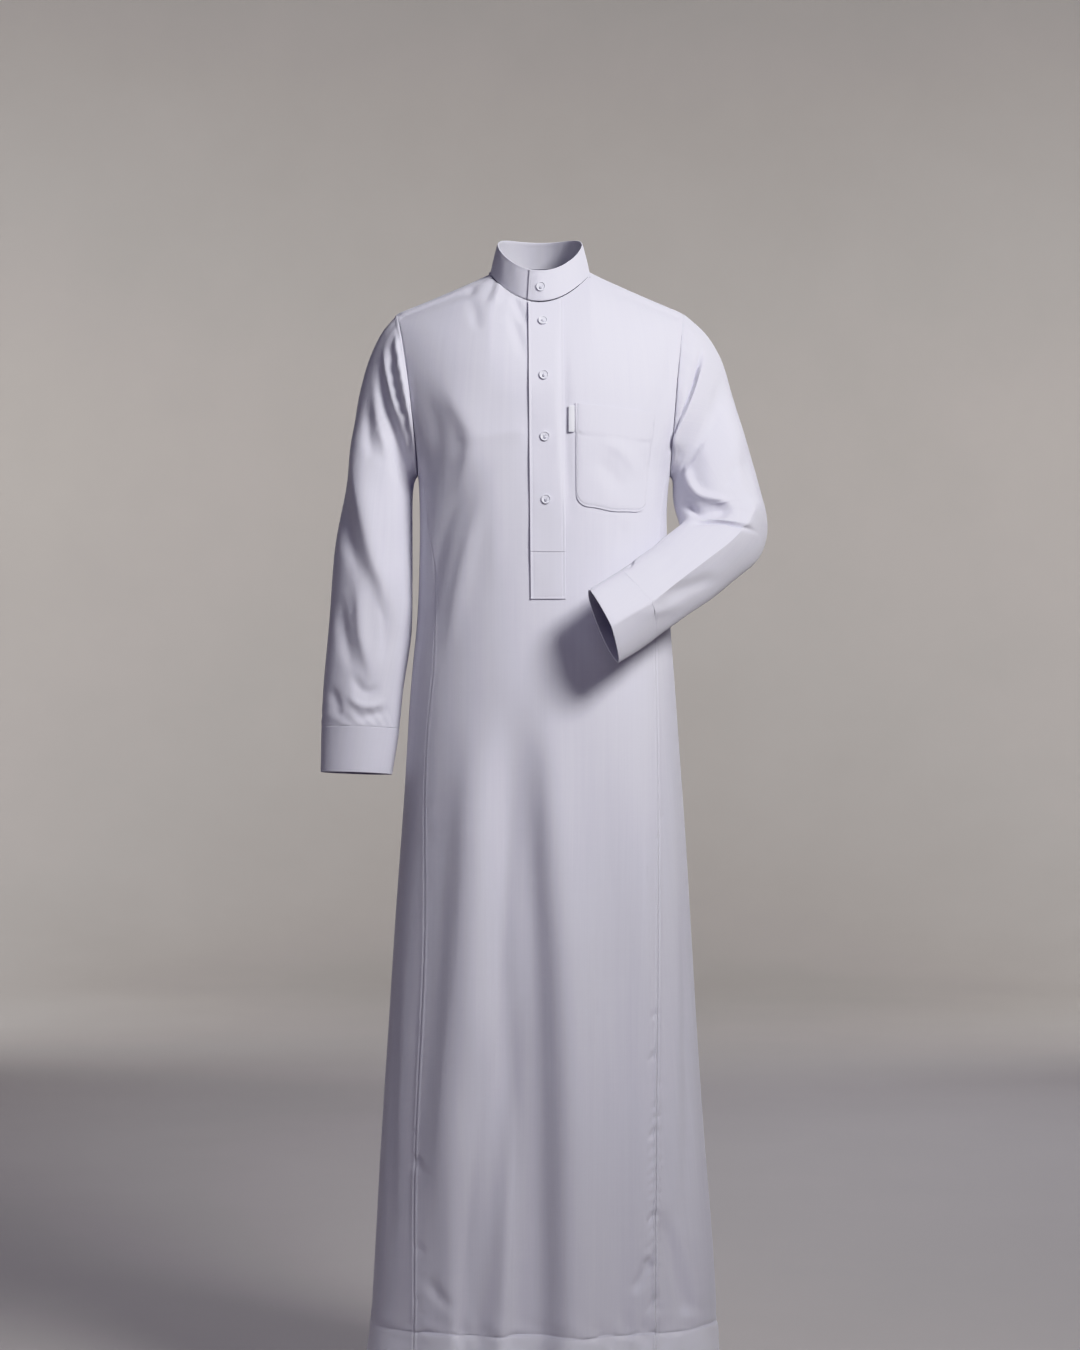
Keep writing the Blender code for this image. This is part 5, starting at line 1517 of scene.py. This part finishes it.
# ---------------- buttons
@dataclass
class Buttons:
    """Turned four-hole buttons: one on the collar's overlap and four down the placket."""

    radius: float = 0.0065
    height: float = 0.0029
    rim: float = 0.0012
    dish: float = 0.0011
    hole_ring: float = 0.0017
    hole_radius: float = 0.00062
    thread_radius: float = 0.00030
    lay_gap: float = 0.0006
    cloth: float = 0.0012
    collar_angle: float = 0.02
    collar_z: float = -0.0270
    stand: float = 0.0009
    rim_bevel: float = 0.00035
    strand_apart: float = 0.0006
    strand_droop: float = 0.0007
    first_turn: float = 0.35
    next_turn: float = 0.9
    places: tuple[Pair, ...] = (
        (0.0041, -0.0767), (0.0055, -0.1526), (0.0068, -0.2361), (0.0082, -0.3218))

    def seats(self, collar: Collar) -> dict[str, Line]:
        """Where each button's back lies and which way it faces, by name."""
        found = {}
        for count, (x, z) in enumerate(self.places, start=1):
            x, z = np.array([x]), np.array([z])
            flat = FORM.on_front(x, z, self.lay_gap + self.cloth)
            stand = BODY_UNEVENNESS.height(flat) + creased(x, z, BODY_CREASES[Side.FRONT])
            at = [FORM.on_front(x, z, self.lay_gap + self.cloth + float(stand[0]) + lift)[0]
                  for lift in (0.0, 0.01)]
            normal = unit(at[1] - at[0])
            found[f"button_placket_{count}"] = (at[0] + normal * (self.lay_gap + self.stand), normal)
        angle = np.array([self.collar_angle])
        base, top = (collar.point(angle, np.array([climb]))[0] for climb in (0.0, 1.0))
        rise = unit(top - base)
        normal = np.cross(np.array([1.0, 0.0, 0.0]), rise)
        climb = (self.collar_z - base[2]) / (top[2] - base[2])
        found["button_collar"] = (base + (top - base) * climb + normal * (self.lay_gap + self.stand), normal)
        return found

    def blank(self) -> Piece:
        """One button on its back at the origin, with a rim, a dished face and four drilled holes."""
        bpy.ops.object.select_all(action="DESELECT")
        bpy.ops.mesh.primitive_cylinder_add(vertices=48, radius=self.radius, depth=self.height,
                                            location=(0.0, 0.0, self.height / 2.0))
        button = bpy.context.object
        bpy.ops.object.mode_set(mode="EDIT")
        form = bmesh.from_edit_mesh(button.data)
        for face in form.faces:
            face.select_set(face.normal.z > 0.9)
        bmesh.update_edit_mesh(button.data)
        bpy.ops.mesh.inset(thickness=self.rim * 0.8)
        bpy.ops.mesh.inset(thickness=self.rim * 0.9, depth=-self.dish)
        bpy.ops.mesh.inset(thickness=self.rim * 0.8, depth=-self.dish * 0.15)
        bpy.ops.object.mode_set(mode="OBJECT")
        rounded = button.modifiers.new("rounded rim", "BEVEL")
        rounded.width = self.rim_bevel
        rounded.segments = 3
        rounded.limit_method = "ANGLE"
        rounded.angle_limit = math.radians(30.0)
        bpy.ops.object.modifier_apply(modifier=rounded.name)
        for corner in range(4):
            turn = math.pi / 4 + corner * math.pi / 2
            bpy.ops.mesh.primitive_cylinder_add(
                vertices=16, radius=self.hole_radius, depth=self.height * 4.0,
                location=(self.hole_ring * math.cos(turn), self.hole_ring * math.sin(turn), 0.0))
            drill = bpy.context.object
            only(button)
            cut = button.modifiers.new("hole", "BOOLEAN")
            cut.operation = "DIFFERENCE"
            cut.object = drill
            bpy.ops.object.modifier_apply(modifier=cut.name)
            bpy.data.objects.remove(drill)
        only(button)
        bpy.ops.object.shade_smooth_by_angle(angle=math.radians(35.0))
        return button

    def thread(self) -> Piece:
        """The crossed thread that holds one button, over its dish at the origin."""
        strands = []
        floor = self.height - self.dish * 0.9
        for turn in (math.pi / 4, 3 * math.pi / 4):
            for side in (-0.5 * self.strand_apart, 0.5 * self.strand_apart):
                bpy.ops.object.select_all(action="DESELECT")
                bpy.ops.mesh.primitive_cylinder_add(
                    vertices=8, radius=self.thread_radius, depth=2.0 * (self.hole_ring + self.hole_radius),
                    location=(-side * math.sin(turn), side * math.cos(turn),
                              floor + self.thread_radius * 0.8),
                    rotation=(0.0, math.pi / 2, turn))
                bpy.ops.object.transform_apply()
                strands.append(bpy.context.object)
        for strand in strands:
            strand.select_set(True)
        bpy.context.view_layer.objects.active = strands[0]
        bpy.ops.object.join()
        cross = bpy.context.object
        bpy.ops.object.mode_set(mode="EDIT")
        bpy.ops.mesh.select_all(action="SELECT")
        bpy.ops.mesh.subdivide(number_cuts=2)
        bpy.ops.object.mode_set(mode="OBJECT")
        for vert in cross.data.vertices:
            out = math.hypot(vert.co.x, vert.co.y) / self.hole_ring
            vert.co.z -= self.strand_droop * max(0.0, out - 0.55)
        only(cross)
        bpy.ops.object.shade_smooth()
        return cross

    def placed(self, pattern: Piece, name: str, seat: Line,
               turn: float) -> Piece:
        """A copy of a pattern, with its own mesh, set on a seat.

        Args:
            pattern: The piece to copy, lying at the origin.
            name: The copy's name.
            seat: Where its back lies and which way it faces.
            turn: How far it is turned on its seat, in radians.

        Returns:
            The copy.
        """
        at, normal = seat
        copy = pattern.copy()
        copy.data = pattern.data.copy()
        copy.name = copy.data.name = name
        bpy.context.scene.collection.objects.link(copy)
        facing_way = Vector(normal).to_track_quat("Z", "Y").to_matrix().to_4x4()
        copy.data.transform(Matrix.Translation(Vector(at)) @ facing_way @ Matrix.Rotation(turn, 4, "Z"))
        copy.data.update()
        return copy

    def build(self, collar: Collar) -> dict[str, tuple[Piece, Piece]]:
        """Each button and its thread, by the button's name."""
        blank, thread = self.blank(), self.thread()
        made = {}
        for count, (name, seat) in enumerate(self.seats(collar).items()):
            turn = self.first_turn + self.next_turn * count
            made[name] = (self.placed(blank, name + "_shell", seat, turn),
                          self.placed(thread, name + "_thread", seat, turn))
        for pattern in (blank, thread):
            bpy.data.objects.remove(pattern)
        return made


# ---------------- finishes
def linked(tree: bpy.types.NodeTree, kind: str, **values: object) -> bpy.types.Node:
    """A node with values set on its own properties or, by input name, on its sockets."""
    node = tree.nodes.new(kind)
    for name, value in values.items():
        if hasattr(node, name):
            setattr(node, name, value)
        else:
            node.inputs[name.replace("_", " ")].default_value = value
    return node


def weave_group() -> bpy.types.ShaderNodeTree:
    """A plain weave with slubbed threads: a shade and a height from a place on the flat cloth."""
    tree = bpy.data.node_groups.new("plain_weave", "ShaderNodeTree")
    tree.interface.new_socket("Place", in_out="INPUT", socket_type="NodeSocketVector")
    for name, way in (("Threads", "INPUT"), ("Slub", "INPUT"), ("Shade", "OUTPUT"), ("Height", "OUTPUT")):
        tree.interface.new_socket(name, in_out=way, socket_type="NodeSocketFloat")
    start, end = tree.nodes.new("NodeGroupInput"), tree.nodes.new("NodeGroupOutput")
    link = tree.links.new

    def math_node(operation: str, first: object, second: object = 0.0) -> Socket:
        """One step of arithmetic on sockets or numbers."""
        node = tree.nodes.new("ShaderNodeMath")
        node.operation = operation
        for socket, value in zip(node.inputs, (first, second)):
            if isinstance(value, Socket):
                link(value, socket)
            else:
                socket.default_value = value
        return node.outputs[0]

    apart = tree.nodes.new("ShaderNodeSeparateXYZ")
    link(start.outputs["Place"], apart.inputs[0])
    waves = []
    for axis in ("X", "Y"):
        turned = math_node("MULTIPLY", apart.outputs[axis], start.outputs["Threads"])
        waves.append(math_node("SINE", math_node("MULTIPLY", turned, math.pi)))
    weave = math_node("MULTIPLY", waves[0], waves[1])
    streaks = []
    for scale in ((170.0, 3.2, 1.0), (620.0, 9.0, 1.0), (14.0, 420.0, 1.0)):
        stretch = linked(tree, "ShaderNodeMapping", Scale=scale)
        link(start.outputs["Place"], stretch.inputs["Vector"])
        noise = linked(tree, "ShaderNodeTexNoise", Scale=1.0, Detail=2.0, Roughness=0.6)
        link(stretch.outputs[0], noise.inputs["Vector"])
        streaks.append(math_node("SUBTRACT", noise.outputs[0], 0.5))
    broad = math_node("ADD", streaks[0], math_node("MULTIPLY", streaks[1], 0.8))
    slub = math_node("MULTIPLY", math_node("ADD", broad, math_node("MULTIPLY", streaks[2], 0.35)),
                     start.outputs["Slub"])
    shade = math_node("ADD", math_node("MULTIPLY", weave, 0.10), math_node("ADD", slub, 0.5))
    height = math_node("ADD", math_node("MULTIPLY", weave, 0.5), math_node("MULTIPLY", slub, 0.5))
    link(shade, end.inputs["Shade"])
    link(height, end.inputs["Height"])
    return tree


def between(tree: bpy.types.NodeTree, mask: Socket, first: object,
            second: Triple) -> Socket:
    """A colour that runs with a mask from the first, a colour or a socket, to the second."""
    mix = linked(tree, "ShaderNodeMix", data_type="RGBA")
    if isinstance(first, Socket):
        tree.links.new(first, mix.inputs[6])
    else:
        mix.inputs[6].default_value = (*first, 1.0)
    mix.inputs[7].default_value = (*second, 1.0)
    tree.links.new(mask, mix.inputs["Factor"])
    return mix.outputs[2]


def surface(tree: bpy.types.NodeTree, masks: tuple[Socket, Socket],
            roughness: Pair, relief: float, strength: float) -> bpy.types.Node:
    """The shader, with roughness on the first mask and a fine relief on the second."""
    shader = tree.nodes["Principled BSDF"]
    rough = linked(tree, "ShaderNodeMapRange")
    rough.inputs["To Min"].default_value, rough.inputs["To Max"].default_value = roughness
    tree.links.new(masks[0], rough.inputs["Value"])
    tree.links.new(rough.outputs[0], shader.inputs["Roughness"])
    bump = linked(tree, "ShaderNodeBump", Distance=relief, Strength=strength)
    tree.links.new(masks[1], bump.inputs["Height"])
    tree.links.new(bump.outputs[0], shader.inputs["Normal"])
    return shader


@dataclass(frozen=True)
class ClothFinish:
    """A fine woven cloth with a faint streak down its length and a soft sheen."""

    name: str
    colour: Triple = (0.775, 0.767, 0.838)
    shade: Triple = (0.690, 0.680, 0.765)
    doubled: Triple = (0.835, 0.830, 0.900)
    doubled_below: float = -1.4565
    threads: float = 2600.0
    slub: float = 0.55
    relief: float = 0.00022
    roughness: Pair = (0.52, 0.66)
    sheen: float = 0.25

    def material(self, weave: bpy.types.ShaderNodeTree) -> bpy.types.Material:
        """The finish as a material on the flat cloth's own layout."""
        material = bpy.data.materials.new(self.name)
        material.use_nodes = True
        tree = material.node_tree
        link = tree.links.new
        layout = tree.nodes.new("ShaderNodeUVMap")
        layout.uv_map = "cloth"
        threads = tree.nodes.new("ShaderNodeGroup")
        threads.node_tree = weave
        threads.inputs["Threads"].default_value = self.threads
        threads.inputs["Slub"].default_value = self.slub
        link(layout.outputs[0], threads.inputs["Place"])
        tone = between(tree, threads.outputs["Shade"], self.shade, self.colour)
        place = tree.nodes.new("ShaderNodeTexCoord")
        height = tree.nodes.new("ShaderNodeSeparateXYZ")
        link(place.outputs["Object"], height.inputs[0])
        below = linked(tree, "ShaderNodeMapRange")
        below.inputs["From Min"].default_value = self.doubled_below + 0.0006
        below.inputs["From Max"].default_value = self.doubled_below - 0.0012
        link(height.outputs["Z"], below.inputs["Value"])
        shader = surface(tree, (threads.outputs["Shade"], threads.outputs["Height"]), self.roughness,
                         self.relief, 0.7)
        link(between(tree, below.outputs[0], tone, self.doubled), shader.inputs["Base Color"])
        shader.inputs["Sheen Weight"].default_value = self.sheen
        shader.inputs["Sheen Roughness"].default_value = 0.45
        shader.inputs["Specular IOR Level"].default_value = 0.25
        return material


@dataclass(frozen=True)
class SmoothFinish:
    """A moulded or twisted material with a faint mottle: button shell, thread, ribbon edge, floor."""

    name: str
    colour: Triple
    dark: Triple
    roughness: Pair
    grain: float
    relief: float
    coat: float = 0.0
    stretch: Triple = (1.0, 1.0, 1.0)

    def material(self) -> bpy.types.Material:
        """The finish as a material on the piece's own coordinates."""
        material = bpy.data.materials.new(self.name)
        material.use_nodes = True
        tree = material.node_tree
        link = tree.links.new
        place = tree.nodes.new("ShaderNodeTexCoord")
        stretch = linked(tree, "ShaderNodeMapping", Scale=self.stretch)
        link(place.outputs["Object"], stretch.inputs["Vector"])
        mottle = linked(tree, "ShaderNodeTexNoise", Scale=self.grain, Detail=3.0, Roughness=0.55)
        link(stretch.outputs[0], mottle.inputs["Vector"])
        mask = mottle.outputs[0]
        shader = surface(tree, (mask, mask), self.roughness, self.relief, 0.6)
        link(between(tree, mask, self.dark, self.colour), shader.inputs["Base Color"])
        shader.inputs["Coat Weight"].default_value = self.coat
        return material


CLOTH = ClothFinish("white_cotton")
BANDING = ClothFinish("white_cotton_banding", threads=2600.0, slub=0.40, roughness=(0.50, 0.62))
SHELL = SmoothFinish("button_shell", (0.80, 0.80, 0.86), (0.70, 0.70, 0.77), (0.22, 0.36), 260.0, 0.00003,
                     0.3)
THREAD = SmoothFinish("sewing_thread", (0.80, 0.80, 0.86), (0.66, 0.66, 0.74), (0.5, 0.7), 2400.0, 0.00008)
RIBBON = SmoothFinish("label_ribbon", (0.80, 0.80, 0.84), (0.62, 0.63, 0.68), (0.45, 0.6), 1500.0, 0.00005,
                      stretch=(1.0, 1.0, 4.0))
FLOOR = SmoothFinish("studio_floor", (0.62, 0.585, 0.55), (0.57, 0.54, 0.505), (0.75, 0.9), 2.5, 0.0002)


def dress(piece: Piece, material: bpy.types.Material) -> None:
    """Give a piece its one material."""
    piece.data.materials.clear()
    piece.data.materials.append(material)


# ---------------- studio
@dataclass(frozen=True)
class SoftLight:
    """One soft box: where it hangs, what it is aimed at, its width and its power."""

    name: str
    place: Triple
    aim: Triple
    width: float
    power: float
    colour: Triple = (1.0, 1.0, 1.0)
    spread: float = 180.0

    def hang(self) -> None:
        """Make the light."""
        lamp = bpy.data.lights.new(self.name, "AREA")
        lamp.shape = "DISK"
        lamp.size = self.width
        lamp.energy = self.power
        lamp.spread = math.radians(self.spread)
        lamp.color = self.colour
        holder = added(self.name, lamp)
        holder.location = self.place
        way = Vector(self.aim) - Vector(self.place)
        holder.rotation_euler = way.to_track_quat("-Z", "Y").to_euler()
        holder.visible_camera = False


@dataclass
class Studio:
    """Camera, soft lights and a pale seamless floor that turns up into a round backdrop."""

    eye: Triple = (0.0, -4.5, -0.56)
    lens: float = 85.7
    sensor: float = 36.0
    floor_z: float = -1.61
    floor_radius: float = 6.4
    backdrop_radius: float = 8.4
    backdrop_top: float = 5.0
    world: float = 0.15
    lights: tuple[SoftLight, ...] = (
        SoftLight("key", (1.30, -1.80, 0.90), (0.04, 0.0, -0.06), 0.85, 22.3, (1.0, 0.995, 0.985), 104.0),
        SoftLight("front", (0.3, -4.9, 0.9), (0.0, 0.0, -0.8), 2.2, 10.5, (0.80, 0.80, 1.0)),
        SoftLight("left", (-2.3, -3.2, 0.5), (0.0, 0.0, -0.7), 2.4, 13.0, (0.84, 0.84, 1.0)),
        SoftLight("rear", (1.4, 3.6, 1.6), (0.0, 0.0, -0.8), 2.2, 60.0, (0.88, 0.89, 1.0)),
        SoftLight("wall_left", (-3.2, 4.2, 0.4), (-0.9, 8.4, 0.3), 2.0, 62.0, spread=150.0),
        SoftLight("wall_right", (3.2, 4.2, 0.4), (0.9, 8.4, 0.3), 2.0, 62.0, spread=150.0),
    )

    def build(self) -> None:
        """Set up everything round the robe."""
        lens = bpy.data.cameras.new("camera")
        lens.lens, lens.sensor_width = self.lens, self.sensor
        camera = added("camera", lens)
        camera.location = self.eye
        camera.rotation_euler = (math.pi / 2, 0.0, 0.0)
        bpy.context.scene.camera = camera
        for light in self.lights:
            light.hang()
        world = bpy.data.worlds.new("studio")
        world.use_nodes = True
        world.node_tree.nodes["Background"].inputs["Color"].default_value = (0.75, 0.73, 1.0, 1.0)
        world.node_tree.nodes["Background"].inputs["Strength"].default_value = self.world
        bpy.context.scene.world = world
        bpy.context.scene.view_settings.view_transform = "Khronos PBR Neutral"
        self.floor()

    def floor(self) -> None:
        """The floor and backdrop, turned from one profile."""
        bend = self.backdrop_radius - self.floor_radius
        turn = np.linspace(0.0, math.pi / 2, 14)
        profile = [(0.0, self.floor_z), (self.floor_radius * 0.5, self.floor_z)]
        profile += [(self.floor_radius + bend * math.sin(at), self.floor_z + bend * (1.0 - math.cos(at)))
                    for at in turn]
        profile += [(self.backdrop_radius, self.backdrop_top)]
        form = bmesh.new()
        points = [form.verts.new((radius, 0.0, height)) for radius, height in profile]
        edges = [form.edges.new(pair) for pair in zip(points, points[1:])]
        bmesh.ops.spin(form, geom=points + edges, axis=(0, 0, 1), cent=(0, 0, 0), dvec=(0, 0, 0),
                       angle=math.tau, steps=96, use_merge=True)
        bmesh.ops.remove_doubles(form, verts=form.verts[:], dist=1e-5)
        bmesh.ops.recalc_face_normals(form, faces=form.faces[:])
        mesh = bpy.data.meshes.new("studio_floor")
        form.to_mesh(mesh)
        form.free()
        mesh.shade_smooth()
        floor = added("studio_floor", mesh)
        dress(floor, FLOOR.material())


# ---------------- the robe
@dataclass(frozen=True)
class Cut:
    """A piece's flat size as it was cut, its area, and how the worn robe holds it."""

    width: float
    length: float
    area: float
    held: str
    rests_on: tuple[str, ...]


def declare(node: str, piece: Piece, grid: Grid) -> None:
    """Attach a cloth piece to the root, hide the imported part that it stands for, and log its grid's size
    and cloth area.
    """
    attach(piece, "root")
    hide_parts(node)
    rows, columns = grid.points.shape[:2]
    log.info("%s: %d rows, %d columns, %.4f m2 of cloth shown", piece.name, rows, columns, grid.area())


def main() -> None:
    logging.basicConfig(level=logging.INFO, format="%(name)s: %(message)s")
    Studio().build()
    weave = weave_group()
    cloth, banding = CLOTH.material(weave), BANDING.material(weave)
    shell_finish, thread_finish, ribbon = SHELL.material(), THREAD.material(), RIBBON.material()

    made = Body().build()
    made |= Sleeve("hanging", HANGING_SLEEVE, -1.0, 10.0, HANGING_CREASES).build()
    made |= Sleeve("bent", BENT_SLEEVE, 1.0, 13.0, BENT_CREASES, BENT_LAPS, math.radians(20.0)).build()
    collar = Collar()
    made["collar"] = collar.build()
    made |= Placket().build()
    made |= Pocket().build()
    tab = made.pop("label_tab").piece
    dress(tab, ribbon)
    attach(tab, "root")
    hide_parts("label_tab")
    bands = ("collar", "cuff_hanging", "cuff_bent", "placket_band", "placket_box", "pocket")
    for node, done in made.items():
        dress(done.piece, banding if node in bands else cloth)
        sewn = Stitches().sew(node + "_stitches", done.seams)
        dress(sewn, thread_finish)
        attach(sewn, "root")
        declare(node, done.piece, done.grid)

    for node, (button, thread) in Buttons().build(collar).items():
        dress(button, shell_finish)
        dress(thread, thread_finish)
        for piece in (button, thread):
            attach(piece, "root")
        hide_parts(node)
        log.info("%s: %d faces", button.name, len(button.data.polygons))


if __name__ == "__main__":
    main()
